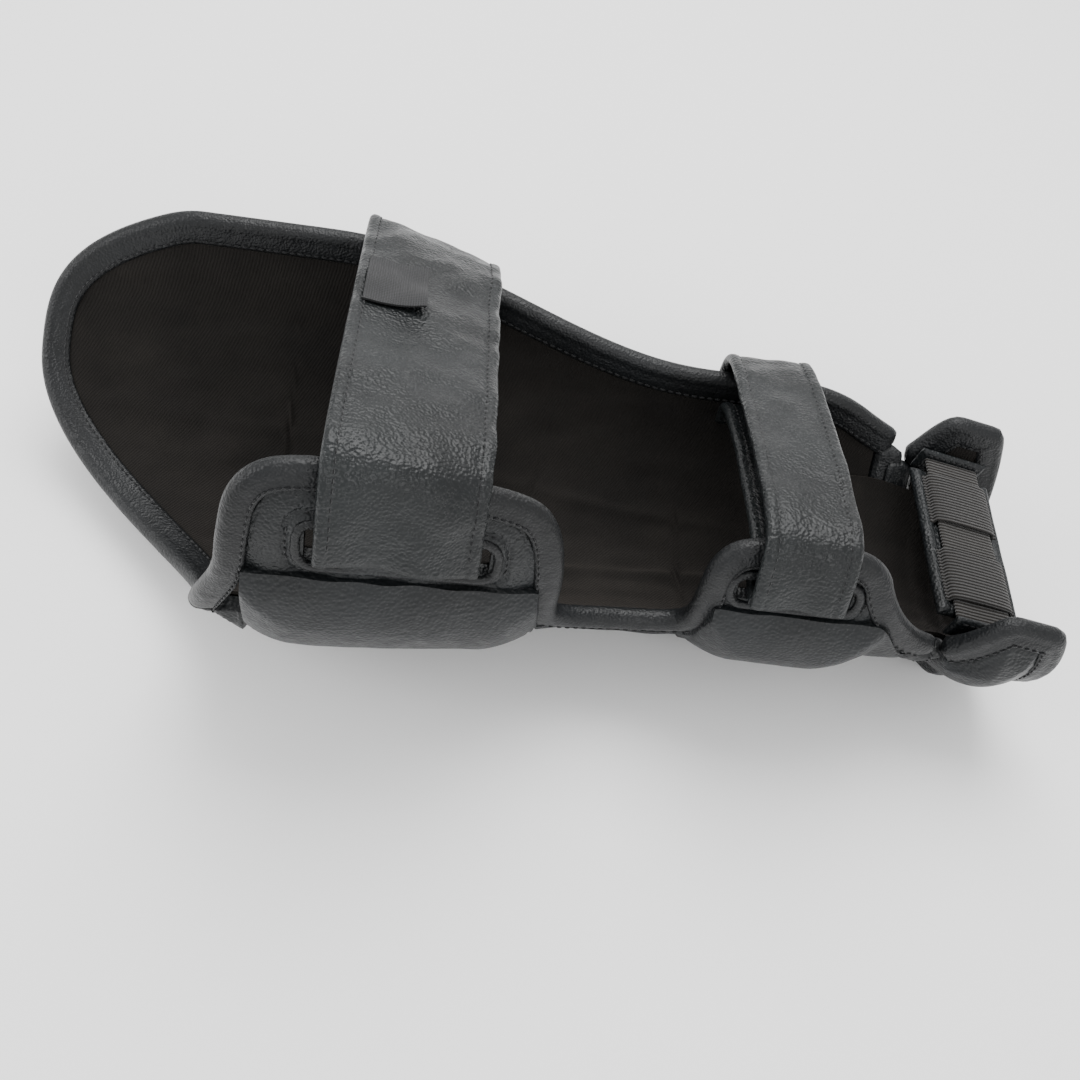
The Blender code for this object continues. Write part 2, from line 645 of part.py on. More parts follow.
def add_foot_panel(foot, leather, foam, cloth):
    us = [0, 0.05, 0.12, 0.2, 0.3, 0.4, 0.5, 0.6, 0.7, 0.8, 0.88, 0.95, 1]
    vs = [0, 0.14, 0.32, 0.5, 0.68, 0.86, 1]

    def skin_face(u, v):
        return FOAM_FACE + foot_foam(u, v) + LAYER_GAP

    shell("foot_lining", us, vs, lambda u, v: foot_at(u, v, LINING),
          lambda u, v: foot_at(u, v, 0), cloth, foot)
    shell("foot_foam_core", us, vs, lambda u, v: foot_at(u, v, FOAM_FACE + foot_foam(u, v)),
          lambda u, v: foot_at(u, v, FOAM_FACE), foam, foot)
    shell("foot_cover", us, vs, lambda u, v: foot_at(u, v, skin_face(u, v) + SKIN),
          lambda u, v: foot_at(u, v, skin_face(u, v)), leather, foot)
    pad_u = [0.30, 0.37, 0.44, 0.5, 0.56, 0.63, 0.70]
    pad_v = [0.2, 0.32, 0.5, 0.68, 0.8]
    shell("instep_pad", pad_u, pad_v,
          lambda u, v: foot_at(u, v, skin_face(u, v) + SKIN + 2 * LAYER_GAP + pad_rise(u, v)),
          lambda u, v: foot_at(u, v, skin_face(u, v) + SKIN + 2 * LAYER_GAP), leather, foot)


def pad_rise(u, v):
    edge = min((u - 0.30) / 0.07, (0.70 - u) / 0.07, (v - 0.2) / 0.12, (0.8 - v) / 0.12)
    return mix(0.0015, INSTEP_PAD, smooth(edge))


def foot_rim(u, v):
    x, degrees = foot_place(u, v, 0)
    point = on_foot(x, degrees, EDGE_MIDDLE)
    point.z += HINGE_DEPTH
    return point


def add_foot_bindings(foot, leather):
    steps = [k / 12 for k in range(13)]
    near = [foot_rim(0, v) for v in steps]
    toe = [foot_rim(u, 1) for u in [k / 24 for k in range(1, 24)]]
    far = [foot_rim(1, v) for v in reversed(steps)]
    path = evenly(rounded(near + toe + far, 2), 0.0088)
    tube("foot_rim_binding", path, BINDING_RADIUS, leather, foot)
    inset = (2 * BINDING_RADIUS + LAYER_GAP) / (math.radians(2 * FOOT_DIP) * FOOT_RADIUS)
    ankle = [foot_rim(mix(inset, 1 - inset, k / 16), 0) for k in range(17)]
    tube("foot_ankle_binding", ankle, BINDING_RADIUS, leather, foot)


def add_gusset(root, leather):
    """The soft strip that hinges the two parts, sewn to the shin's lining."""
    angles = [-45, -30, -15, 0, 15, 30, 45]
    xs = [SHIN_LENGTH - 0.016, SHIN_LENGTH - SETBACK, SHIN_LENGTH + ANKLE_GAP / 2]
    lift = 0.0022
    shell("ankle_gusset", angles, xs, lambda a, x: on_shin(x, a, -lift),
          lambda a, x: on_shin(x, a, -lift - GUSSET), leather, root)


# ---------------------------------------------------------------- stirrup under the foot
def add_stirrup(foot, pad_frame, height, leather, elastic):
    low_end = 1 - (STIRRUP_HEIGHT - ANCHOR_BELOW) / FOOT_RADIUS
    inner = math.sin(math.acos(low_end)) * FOOT_RADIUS
    half = ELASTIC_WIDTH / 2
    end = inner - ANCHOR - 0.0012
    plate("stirrup_elastic", (STIRRUP_X - half, -end + LAYER_GAP, height),
          (STIRRUP_X + half, end - LAYER_GAP, height + ELASTIC), elastic, foot)
    for name, side in (("far", 1), ("near", -1)):
        ys = sorted((side * end, side * (end + ANCHOR)))
        low = (STIRRUP_X - half - 0.003, ys[0], height - ANCHOR_BELOW)
        high = (STIRRUP_X + half + 0.003, ys[1], height + 0.005)
        plate(f"stirrup_anchor_{name}", low, high, leather, foot, bevel=0.0008)

    # the sole pad and its keepers, in the frame of the pad's middle on the elastic
    top = -SLIDE_PLAY
    long = SOLE_PAD_LENGTH / 2
    wide = SOLE_PAD_WIDTH / 2
    edge = 0.005
    plate("sole_pad", (-wide + edge + LAYER_GAP, -long, top - SOLE_PAD),
          (wide - edge - LAYER_GAP, long, top), leather, pad_frame, bevel=0.0009)
    for name, side in (("front", 1), ("rear", -1)):
        xs = sorted((side * wide, side * (wide - edge)))
        plate(f"sole_pad_{name}_binding", (xs[0], -long, top - SOLE_PAD - 0.0008),
              (xs[1], long, top + 0.0006), leather, pad_frame, bevel=0.0012)
    leg = half + SLIDE_PLAY + KEEPER / 2
    roof = ELASTIC + SLIDE_PLAY + KEEPER / 2
    foot_of_leg = top + LAYER_GAP
    line = [Vector((-leg, foot_of_leg)), Vector((-leg, roof)), Vector((leg, roof)),
            Vector((leg, foot_of_leg))]
    for name, side in (("far", 1), ("near", -1)):
        y = side * KEEPER_OFFSET
        ribbon(f"sole_keeper_{name}", (line, line), (y - KEEPER_WIDTH / 2, y + KEEPER_WIDTH / 2), KEEPER,
               elastic, pad_frame, across="y")


# ---------------------------------------------------------------- laying it on the floor
def world_points():
    bpy.context.view_layer.update()
    graph = bpy.context.evaluated_depsgraph_get()
    points = []
    for obj in bpy.context.scene.objects:
        if obj.type == "EMPTY":
            continue
        shape = obj.evaluated_get(graph)
        mesh = shape.to_mesh()
        points += [shape.matrix_world @ vert.co for vert in mesh.vertices]
        shape.to_mesh_clear()
    return points


def lower_hull(points):
    hull = []
    for point in sorted(points):
        while len(hull) > 1:
            a, b = hull[-2], hull[-1]
            if (b[0] - a[0]) * (point[1] - a[1]) - (b[1] - a[1]) * (point[0] - a[0]) > 0:
                break
            hull.pop()
        hull.append(point)
    return hull


def lie_down(root):
    """Pitches the guard until the edge under its middle is level, then sets it on z = 0."""
    hull = lower_hull([(p.x, p.z) for p in world_points()])
    middle = SHIN_LENGTH * 0.55
    for a, b in zip(hull, hull[1:]):
        if a[0] <= middle <= b[0]:
            root.rotation_euler = (0, math.atan2(b[1] - a[1], b[0] - a[0]), 0)
    points = world_points()
    low = [min(p[k] for p in points) for k in range(3)]
    high = [max(p[k] for p in points) for k in range(3)]
    root.location = (-(low[0] + high[0]) / 2, -(low[1] + high[1]) / 2, -low[2])
    bpy.context.view_layer.update()


def main():
    clear_scene()
    leather = make_material("synthetic_leather", (0.020, 0.022, 0.024), 0.45)
    binding = make_material("leather_binding", (0.017, 0.018, 0.020), 0.42)
    cloth = make_material("brushed_lining", (0.010, 0.009, 0.009), 0.95, 0.3)
    foam = make_material("eva_foam", (0.06, 0.06, 0.065), 0.9)
    elastic = make_material("elastic_webbing", (0.018, 0.016, 0.015), 0.9)
    hook = make_material("hook_tape", (0.012, 0.012, 0.012), 0.8)
    loop = make_material("loop_tape", (0.014, 0.013, 0.013), 1.0, 0.5)
    woven = make_material("woven_label", (0.012, 0.012, 0.013), 0.8)

    root = add_empty("guard", None)
    add_shin_panel(root, leather, foam, cloth)
    add_front_bar(root, leather)
    add_wing("upper", UPPER_WING, UPPER_WING_TOP, UPPER_WING_CORNER, 0, UPPER_STRAP_X,
             UPPER_STRAP_WIDTH, root, leather, cloth)
    add_wing("lower", LOWER_WING, LOWER_WING_TOP, LOWER_WING_CORNER, LOWER_WING_SLANT,
             LOWER_STRAP_X, LOWER_STRAP_WIDTH, root, leather, cloth)
    add_shin_bindings(root, binding)

    upper_axis, lower_axis = peel_axis(UPPER_STRAP_X), peel_axis(LOWER_STRAP_X)
    upper_tail = add_empty("upper_tail_fold", root, (UPPER_STRAP_X, *upper_axis))
    lower_tail = add_empty("lower_tail_fold", root, (LOWER_STRAP_X, *lower_axis))
    add_strap("upper", UPPER_STRAP_X, UPPER_STRAP_WIDTH, UPPER_WING_TOP, UPPER_TAIL_REACH, root,
              upper_tail, leather, hook, loop)
    add_label(upper_tail, woven)
    add_strap("lower", LOWER_STRAP_X, LOWER_STRAP_WIDTH, LOWER_WING_TOP, LOWER_TAIL_REACH, root,
              lower_tail, leather, hook, loop)

    ankle = (SHIN_LENGTH + ANKLE_GAP / 2, 0, -HINGE_DEPTH)
    foot = add_empty("ankle_axis", root, ankle, (0, math.radians(FOOT_BEND), 0))
    add_foot_panel(foot, leather, foam, cloth)
    add_foot_bindings(foot, binding)
    add_gusset(root, leather)
    height = STIRRUP_HEIGHT + HINGE_DEPTH
    pad_frame = add_empty("sole_pad_middle", foot, (STIRRUP_X, 0, height))
    add_stirrup(foot, pad_frame, height, leather, elastic)
    lie_down(root)


main()
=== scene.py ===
"""Looks of a shin and instep guard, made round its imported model.

The guard is cut and sewn from leathercloth, brushed lining, foam and elastic. Each soft piece
starts as a flat grid or block in the unit square and is wrapped onto the guard's curved walls.
"""
import json
import math

import bpy
from mathutils import Matrix, Vector, noise


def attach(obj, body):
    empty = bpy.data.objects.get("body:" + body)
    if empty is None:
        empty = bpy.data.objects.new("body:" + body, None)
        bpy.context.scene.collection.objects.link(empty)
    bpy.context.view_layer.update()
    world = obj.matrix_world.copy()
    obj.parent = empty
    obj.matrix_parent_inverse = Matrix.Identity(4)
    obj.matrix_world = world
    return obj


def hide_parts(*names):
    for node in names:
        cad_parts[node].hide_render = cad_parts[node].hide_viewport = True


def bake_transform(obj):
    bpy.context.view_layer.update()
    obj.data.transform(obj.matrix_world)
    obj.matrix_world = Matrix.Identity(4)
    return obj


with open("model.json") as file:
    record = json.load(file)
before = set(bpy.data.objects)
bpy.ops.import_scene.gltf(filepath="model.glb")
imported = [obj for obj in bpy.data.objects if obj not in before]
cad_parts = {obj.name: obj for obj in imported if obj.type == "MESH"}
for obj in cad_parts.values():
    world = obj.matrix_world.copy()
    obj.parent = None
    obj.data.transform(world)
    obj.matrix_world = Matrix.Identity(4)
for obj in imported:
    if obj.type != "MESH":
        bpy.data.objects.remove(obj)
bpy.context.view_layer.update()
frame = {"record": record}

# ---------------------------------------------------------------- sizes of the guard (m, degrees)
GAP = 0.0004
LINING, SKIN = 0.0012, 0.0014
FOAM, FOAM_EDGE, FOAM_RAMP = 0.0130, 0.0040, 0.024
ROLL = 0.0042  # radius of the rolled binding
SHIN_LENGTH = 0.363
CALF_RADIUS, ANKLE_RADIUS = 0.083, 0.0555
TAPER_START, TAPER_END = 0.118, 0.278
FAR_EDGE, SEAM, LOW_EDGE, ANKLE_CORNER = 87.0, 87.0, 60.0, 69.0
FAR_FALL = 0.319
KNEE_TIP, KNEE_CUT, KNEE_CUT_REACH, KNEE_ROUND, KNEE_FULL = 44.0, 0.087, 89.0, 0.055, 0.104
STRAP, STRAP_EDGE, STRAP_EDGE_PROUD, TAIL_LIFT = 0.0030, 0.0050, 0.0006, 0.0016
UPPER_STRAP_X, UPPER_STRAP_WIDTH = 0.1575, 0.056
LOWER_STRAP_X, LOWER_STRAP_WIDTH = 0.3035, 0.036
SLOT_PLAY, SLOT_FROM, SLOT_TO = 0.0035, 92.0, 101.0
SLOT_MIDDLE = (SLOT_FROM + SLOT_TO) / 2
WING, WING_LINING = 0.0049, 0.0009
UPPER_WING_TOP, LOWER_WING_TOP = 115.5, 113.0
UPPER_WING = (UPPER_STRAP_X - 0.0580, UPPER_STRAP_X + 0.0555)
LOWER_WING = (LOWER_STRAP_X - 0.0310, LOWER_STRAP_X + 0.0400)
UPPER_WING_CORNER, LOWER_WING_CORNER, LOWER_WING_SLANT = 0.018, 0.009, 0.011
SLOT_CORD = 0.0016
HOOK, LOOP = 0.0010, 0.0010
UPPER_REACH, LOWER_REACH = 0.044, 0.031
BAR_WIDTH, BAR_HEIGHT, BAR_START, BAR_END = 0.030, 0.0050, 0.058, 0.335
FOOT_BEND, FOOT_LENGTH, FOOT_RADIUS, FOOT_CORNER = 12.0, 0.041, 0.0525, 0.010
ANKLE_GAP = 0.0105
FOOT_FAR, FOOT_NEAR, FOOT_DIP = 88.0, 94.0, 66.0
INSTEP_PAD = 0.0045
ELASTIC, ELASTIC_WIDTH = 0.0016, 0.025
STIRRUP_X, STIRRUP_HEIGHT = 0.0145, 0.037
SOLE_PAD, SOLE_PAD_WIDTH, SOLE_PAD_LENGTH = 0.0040, 0.038, 0.078
KEEPER, KEEPER_WIDTH, KEEPER_OFFSET = 0.0012, 0.026, 0.0205
ANCHOR, ANCHOR_BELOW, ANCHOR_ABOVE, SLIDE_PLAY = 0.0030, 0.0060, 0.0050, 0.0006
GUSSET, GUSSET_REACH, GUSSET_ANGLE = 0.0014, 0.017, 52.0
LABEL_WIDTH = 0.0225
LABEL_START, LABEL_SHARE = 21 / 46, 6 / 46  # as shares of the upper flap

FOAM_FACE = LINING + GAP
EDGE_BACK = FOAM_FACE + FOAM_EDGE + GAP + SKIN
EDGE_MIDDLE = EDGE_BACK / 2
FULL_BACK = FOAM_FACE + FOAM + GAP + SKIN
SETBACK = ROLL + GAP
WING_BACK = WING_LINING + GAP + WING
TAIL_OUT = WING_BACK + 2 * GAP + 2 * SLOT_CORD + STRAP / 2 + STRAP_EDGE_PROUD + TAIL_LIFT
PATCH_STACK = 3 * GAP + LOOP + HOOK
HINGE_DEPTH = EDGE_MIDDLE

STITCH_PITCH, STITCH_LENGTH, THREAD = 0.0033, 0.0024, 0.00042


def mix(a, b, t):
    return a + (b - a) * t


def smooth(t):
    t = min(max(t, 0.0), 1.0)
    return t * t * (3 - 2 * t)


def bulge(distance, width):
    """0 at an edge, 1 from a width inside it, rising steeply like stuffed cloth."""
    return math.sqrt(smooth(distance / width))


# ---------------------------------------------------------------- where the guard lies
def shin_axes():
    """From the shin's own axes to the row frame: the front bar's flat face is where it says."""
    rest = next(m for m in frame["record"]["mounts"] if m["name"] == "front_rest")
    turn = Matrix.Rotation(math.atan2(-rest["axis"][0], -rest["axis"][2]), 4, "Y")
    own = Vector(((BAR_START + BAR_END) / 2, 0, -FULL_BACK - GAP - BAR_HEIGHT))
    return Matrix.Translation(Vector(rest["pos_m"]) - turn @ own) @ turn


def joint(name):
    return next(j for j in frame["record"]["behaviour"]["joints"] if j["name"] == name)


SHIN = shin_axes()
FOOT = (Matrix.Translation(joint("ankle_flex")["pos_m"]) @ SHIN.to_3x3().to_4x4()
        @ Matrix.Rotation(math.radians(FOOT_BEND), 4, "Y"))


def shin_radius(x):
    return mix(CALF_RADIUS, ANKLE_RADIUS, smooth((x - TAPER_START) / (TAPER_END - TAPER_START)))


def on_section(radius, degrees, out):
    angle = math.radians(degrees)
    return (radius + out) * math.sin(angle), radius - (radius + out) * math.cos(angle)


def on_shin(x, degrees, out):
    """A point by its place along the shin, its angle round it and its height off the lining."""
    return SHIN @ Vector((x, *on_section(shin_radius(x), degrees, out)))


def on_foot(x, degrees, out):
    y, z = on_section(FOOT_RADIUS, degrees, out)
    return FOOT @ Vector((x, y, z + HINGE_DEPTH))


def degrees_for(length, radius):
    return math.degrees(length / radius)


# ---------------------------------------------------------------- finishes
def linear(hex_colour):
    """An sRGB hex value as linear RGBA."""
    parts = [int(hex_colour[i:i + 2], 16) / 255 for i in (1, 3, 5)]
    return tuple(c / 12.92 if c < 0.04045 else ((c + 0.055) / 1.055) ** 2.4 for c in parts) + (1,)


def add_node(material, kind, settings=None, links=None):
    """One shader node: attribute and socket values, then links from (node, output) pairs."""
    made = material.node_tree.nodes.new(kind)
    for key, value in (settings or {}).items():
        if key in made.inputs:
            made.inputs[key].default_value = value
        else:
            setattr(made, key, value)
    for key, (source, output) in (links or {}).items():
        material.node_tree.links.new(source.outputs[output], made.inputs[key])
    return made


def new_finish(name, roughness, **sockets):
    material = bpy.data.materials.new(name)
    material.use_nodes = True
    shader = material.node_tree.nodes["Principled BSDF"]
    shader.inputs["Roughness"].default_value = roughness
    for key, value in sockets.items():
        shader.inputs[key.replace("_", " ")].default_value = value
    return material, shader


def tint(material, shader, dark, light, source, output, low=0.3, high=0.7):
    ramp = add_node(material, "ShaderNodeValToRGB", links={"Fac": (source, output)})
    ramp.color_ramp.elements[0].color = linear(dark)
    ramp.color_ramp.elements[0].position = low
    ramp.color_ramp.elements[1].color = linear(light)
    ramp.color_ramp.elements[1].position = high
    material.node_tree.links.new(ramp.outputs["Color"], shader.inputs["Base Color"])


def relief(material, shader, layers):
    """Bumps one over another; layers are (node, output, height in m)."""
    before = None
    for source, output, height in layers:
        links = {"Height": (source, output)}
        if before:
            links["Normal"] = (before, "Normal")
        before = add_node(material, "ShaderNodeBump", {"Strength": 1.0, "Distance": height}, links)
    material.node_tree.links.new(before.outputs["Normal"], shader.inputs["Normal"])


def leathercloth(name, dark, light, low, high, grain=0.0011, depth=0.00011):
    """Polyurethane-coated cloth with an embossed pebble grain: a soft grey gloss, broken up by
    the grain, and flatter where it has been rubbed."""
    material, shader = new_finish(name, 0.45, IOR=1.5, Specular_IOR_Level=0.30)
    at = add_node(material, "ShaderNodeTexCoord")
    pebble = add_node(material, "ShaderNodeTexVoronoi", {"Scale": 1 / grain, "Randomness": 1.0},
                      {"Vector": (at, "Object")})
    pebble.feature = "SMOOTH_F1"
    crease = add_node(material, "ShaderNodeTexNoise", {"Scale": 1 / 0.0060, "Detail": 5.0,
                      "Roughness": 0.62, "Distortion": 0.6}, {"Vector": (at, "Object")})
    patch = add_node(material, "ShaderNodeTexNoise", {"Scale": 1 / 0.045, "Detail": 4.0},
                     {"Vector": (at, "Object")})
    tint(material, shader, dark, light, patch, "Fac")
    rub = add_node(material, "ShaderNodeMapRange", {"From Min": 0.3, "From Max": 0.7,
                   "To Min": low, "To Max": high}, {"Value": (crease, "Fac")})
    material.node_tree.links.new(rub.outputs["Result"], shader.inputs["Roughness"])
    relief(material, shader, [(crease, "Fac", 0.00028), (pebble, "Distance", depth * 4)])
    return material


def brushed_lining():
    """Brushed polyester twill: almost no gloss, a soft nap that lightens at the edges of folds,
    fine slanting rows."""
    material, shader = new_finish("brushed_twill", 0.95, Sheen_Weight=0.16, Sheen_Roughness=0.55,
                                  Specular_IOR_Level=0.18)
    shader.inputs["Sheen Tint"].default_value = linear("#8c8178")
    at = add_node(material, "ShaderNodeTexCoord")
    turned = add_node(material, "ShaderNodeMapping", {"Rotation": (0, 0, math.radians(38))},
                      {"Vector": (at, "Object")})
    # the real rows are 0.5 mm apart: drawn at 1.1 mm, the finest that shows
    rows = add_node(material, "ShaderNodeTexWave", {"Scale": 1 / 0.0011 / 3.2, "Distortion": 1.2,
                    "Detail": 2.0, "Detail Scale": 3.0}, {"Vector": (turned, "Vector")})
    nap = add_node(material, "ShaderNodeTexNoise", {"Scale": 1 / 0.0009, "Detail": 6.0,
                   "Roughness": 0.7}, {"Vector": (at, "Object")})
    patch = add_node(material, "ShaderNodeTexNoise", {"Scale": 1 / 0.035, "Detail": 4.0,
                     "Roughness": 0.6}, {"Vector": (at, "Object")})
    tint(material, shader, "#0f0e0d", "#1b1917", patch, "Fac", 0.25, 0.75)
    relief(material, shader, [(nap, "Fac", 0.00030), (rows, "Fac", 0.00014)])
    return material


def ribbed_elastic(name, dark, light):
    """Woven elastic: rounded ribs across its length with a dull thread between them."""
    material, shader = new_finish(name, 0.85, Sheen_Weight=0.2, Sheen_Roughness=0.5,
                                  Specular_IOR_Level=0.25)
    at = add_node(material, "ShaderNodeTexCoord")
    ribs = add_node(material, "ShaderNodeTexWave", {"Scale": 1 / 0.0016 / 3.2, "Distortion": 0.35,
                    "Detail": 1.0}, {"Vector": (at, "Object")})
    ribs.bands_direction = "Y"
    thread = add_node(material, "ShaderNodeTexNoise", {"Scale": 1 / 0.0012, "Detail": 4.0},
                      {"Vector": (at, "Object")})
    tint(material, shader, dark, light, ribs, "Fac", 0.1, 0.9)
    relief(material, shader, [(ribs, "Fac", 0.0006), (thread, "Fac", 0.0002)])
    return material


def napped(name, dark, light, size, height):
    """Hook or loop tape, thread or bare foam: a dull, fuzzy or pitted face."""
    material, shader = new_finish(name, 0.9, Sheen_Weight=0.2, Specular_IOR_Level=0.25)
    at = add_node(material, "ShaderNodeTexCoord")
    fuzz = add_node(material, "ShaderNodeTexNoise", {"Scale": 1 / size, "Detail": 5.0,
                    "Roughness": 0.7}, {"Vector": (at, "Object")})
    tint(material, shader, dark, light, fuzz, "Fac")
    relief(material, shader, [(fuzz, "Fac", height)])
    return material


def woven_damask():
    """Damask label: a satin face of fine threads, closer and shinier than the webbing."""
    material, shader = new_finish("woven_damask", 0.62, Specular_IOR_Level=0.4)
    at = add_node(material, "ShaderNodeTexCoord")
    warp = add_node(material, "ShaderNodeTexWave", {"Scale": 1 / 0.0009 / 3.2, "Distortion": 0.2},
                    {"Vector": (at, "Object")})
    weft = add_node(material, "ShaderNodeTexWave", {"Scale": 1 / 0.0012 / 3.2, "Distortion": 0.2},
                    {"Vector": (at, "Object")})
    weft.bands_direction = "Y"
    tint(material, shader, "#131314", "#202123", warp, "Fac", 0.2, 0.8)
    relief(material, shader, [(warp, "Fac", 0.00012), (weft, "Fac", 0.00012)])
    return material


LEATHER = leathercloth("grained_leathercloth", "#0e1011", "#16191b", 0.34, 0.50)
PADDED_LEATHER = leathercloth("grained_leathercloth_padded", "#0d0f10", "#15181a", 0.34, 0.50, 0.0013)
ROLLED = leathercloth("rolled_leathercloth", "#0b0c0d", "#131517", 0.36, 0.52, 0.0009, 0.00008)
STRAP_FACE = leathercloth("strap_leathercloth", "#0f1112", "#1a1d1e", 0.30, 0.46, 0.0011, 0.00012)
LINING_CLOTH = brushed_lining()
BAND = ribbed_elastic("ribbed_elastic", "#141210", "#2a2724")
KEEPER_BAND = ribbed_elastic("ribbed_elastic_keeper", "#100f0e", "#24211f")
THREAD_FINISH = napped("bonded_nylon_thread", "#0b0b0c", "#1a1b1d", 0.0006, 0.0001)
LOOP_TAPE = napped("loop_tape", "#121110", "#211f1d", 0.0008, 0.0006)
HOOK_TAPE = napped("hook_tape", "#0e0e0e", "#1d1d1d", 0.0005, 0.0004)
LABEL_CLOTH = woven_damask()


# ---------------------------------------------------------------- sewing-room tools
def deselect():
    if bpy.context.mode != "OBJECT":
        bpy.ops.object.mode_set(mode="OBJECT")
    bpy.ops.object.select_all(action="DESELECT")


def cut_flat(name, across, along, hole=None):
    """A flat grid over the unit square, less the faces inside hole (u0, u1, v0, v1)."""
    deselect()
    bpy.ops.mesh.primitive_grid_add(x_subdivisions=across, y_subdivisions=along, size=1,
                                    location=(0.5, 0.5, 0))
    piece = bpy.context.object
    piece.name = piece.data.name = name
    bpy.ops.object.transform_apply(location=True, rotation=False, scale=False)
    if hole:
        bpy.ops.object.mode_set(mode="EDIT")
        bpy.ops.mesh.select_mode(type="FACE")
        bpy.ops.mesh.select_all(action="DESELECT")
        bpy.ops.object.mode_set(mode="OBJECT")
        for face in piece.data.polygons:
            u, v = face.center.x, face.center.y
            face.select = hole[0] < u < hole[1] and hole[2] < v < hole[3]
        bpy.ops.object.mode_set(mode="EDIT")
        bpy.ops.mesh.delete(type="FACE")
        bpy.ops.object.mode_set(mode="OBJECT")
    return piece


def finish_mesh(piece, material, sharp=None, close_ends=False):
    """Closes the seams, turns the faces outwards and shades the piece smooth."""
    deselect()
    bpy.context.view_layer.objects.active = piece
    piece.select_set(True)
    bpy.ops.object.mode_set(mode="EDIT")
    bpy.ops.mesh.select_all(action="SELECT")
    bpy.ops.mesh.remove_doubles(threshold=0.000002)
    if close_ends:
        bpy.ops.mesh.select_mode(type="EDGE")
        bpy.ops.mesh.select_all(action="DESELECT")
        bpy.ops.mesh.select_non_manifold()
        bpy.ops.mesh.fill_holes(sides=0)
        bpy.ops.mesh.select_all(action="SELECT")
    bpy.ops.mesh.normals_make_consistent(inside=False)
    bpy.ops.object.mode_set(mode="OBJECT")
    if sharp:
        bpy.ops.object.shade_smooth_by_angle(angle=math.radians(sharp))
    else:
        bpy.ops.object.shade_smooth()
    piece.data.materials.clear()
    piece.data.materials.append(material)
    return piece


def wrap(piece, place):
    for vertex in piece.data.vertices:
        vertex.co = place(vertex.co.x, vertex.co.y, vertex.co.z)


def sewn_block(name, across, along, place, material, hole=None):
    """A cut piece given a thickness, w from 0 on its inner face to 1 on its outer one, and then
    wrapped: place(u, v, w) is a point."""
    piece = cut_flat(name, across, along, hole)
    bpy.ops.object.mode_set(mode="EDIT")
    bpy.ops.mesh.select_all(action="SELECT")
    bpy.ops.mesh.extrude_region_move(TRANSFORM_OT_translate={"value": (0, 0, 1)})
    bpy.ops.object.mode_set(mode="OBJECT")
    wrap(piece, place)
    return finish_mesh(piece, material, sharp=50)


def rolled_tube(name, along, around, place, material, ring=False):
    """A grid whose sides meet: place(s, t) with s along the piece and t once round it."""
    piece = cut_flat(name, along, around)
    wrap(piece, lambda u, v, w: place(u % 1.0 if ring else u, v % 1.0))
    return finish_mesh(piece, material, close_ends=not ring)


class Edge:
    """A sewn edge: evenly spaced points with, at each, the wall's outward normal, the way along
    and the way in from the edge."""

    def __init__(self, key, outward, step=0.002, rounds=3, ring=False, flip=1):
        points = key
        for _ in range(rounds):
            cut = [] if ring else [points[0]]
            pairs = zip(points, points[1:] + points[:1]) if ring else zip(points, points[1:])
            for a, b in pairs:
                cut += [a.lerp(b, 0.25), a.lerp(b, 0.75)]
            points = cut if ring else cut + [points[-1]]
        if ring:
            points = points + points[:1]
        along = [0.0]
        for a, b in zip(points, points[1:]):
            along.append(along[-1] + (b - a).length)
        self.length = along[-1]
        self.ring = ring
        self.count = max(4, round(self.length / step))
        self.points = []
        k = 0
        for i in range(self.count + 1):
            reach = self.length * i / self.count
            while k < len(points) - 2 and along[k + 1] < reach:
                k += 1
            share = (reach - along[k]) / max(along[k + 1] - along[k], 1e-9)
            self.points.append(points[k].lerp(points[k + 1], share))
        self.outward, self.way_along, self.inward = [], [], []
        last = self.count
        for i in range(last + 1):
            if ring:
                before, after = self.points[(i - 1) % last], self.points[(i + 1) % last]
            else:
                before, after = self.points[max(i - 1, 0)], self.points[min(i + 1, last)]
            forward = (after - before).normalized()
            normal = outward(self.points[i])
            normal = (normal - forward * normal.dot(forward)).normalized()
            self.way_along.append(forward)
            self.outward.append(normal)
            self.inward.append(forward.cross(normal) * flip)

    def at(self, s, inward=0.0, outward=0.0):
        """(point, outward normal, way along) at a share s of the length."""
        reach = min(max(s, 0.0), 1.0) * self.count
        i = min(int(reach), self.count - 1)
        t = reach - i
        normal = self.outward[i].lerp(self.outward[i + 1], t)
        side = self.inward[i].lerp(self.inward[i + 1], t)
        point = self.points[i].lerp(self.points[i + 1], t) + side * inward + normal * outward
        return point, normal, self.way_along[i].lerp(self.way_along[i + 1], t)


def shin_outward(point):
    """Outward normal of the shin's wall near a point."""
    own = SHIN.inverted() @ point
    radius = shin_radius(own.x)
    lean = (shin_radius(own.x + 0.001) - shin_radius(own.x - 0.001)) / 0.002
    out = Vector((0, own.y, own.z - radius)).normalized()
    return SHIN.to_3x3() @ (out + Vector((-lean * 0.5, 0, 0))).normalized()


def foot_outward(point):
    own = FOOT.inverted() @ point
    return FOOT.to_3x3() @ Vector((0, own.y, own.z - HINGE_DEPTH - FOOT_RADIUS)).normalized()


def one_stitch():
    """A single stitch: a short thread, sunk at both ends."""
    deselect()
    bpy.ops.mesh.primitive_uv_sphere_add(segments=6, ring_count=5, radius=0.5)
    stitch = bpy.context.object
    bpy.ops.transform.resize(value=(THREAD * 2, THREAD * 2, STITCH_LENGTH))
    bpy.ops.object.transform_apply(location=True, rotation=True, scale=True)
    bpy.ops.object.mode_set(mode="EDIT")
    bpy.ops.transform.rotate(value=math.pi / 2, orient_axis="Y", center_override=(0, 0, 0))
    bpy.ops.object.mode_set(mode="OBJECT")
    return stitch


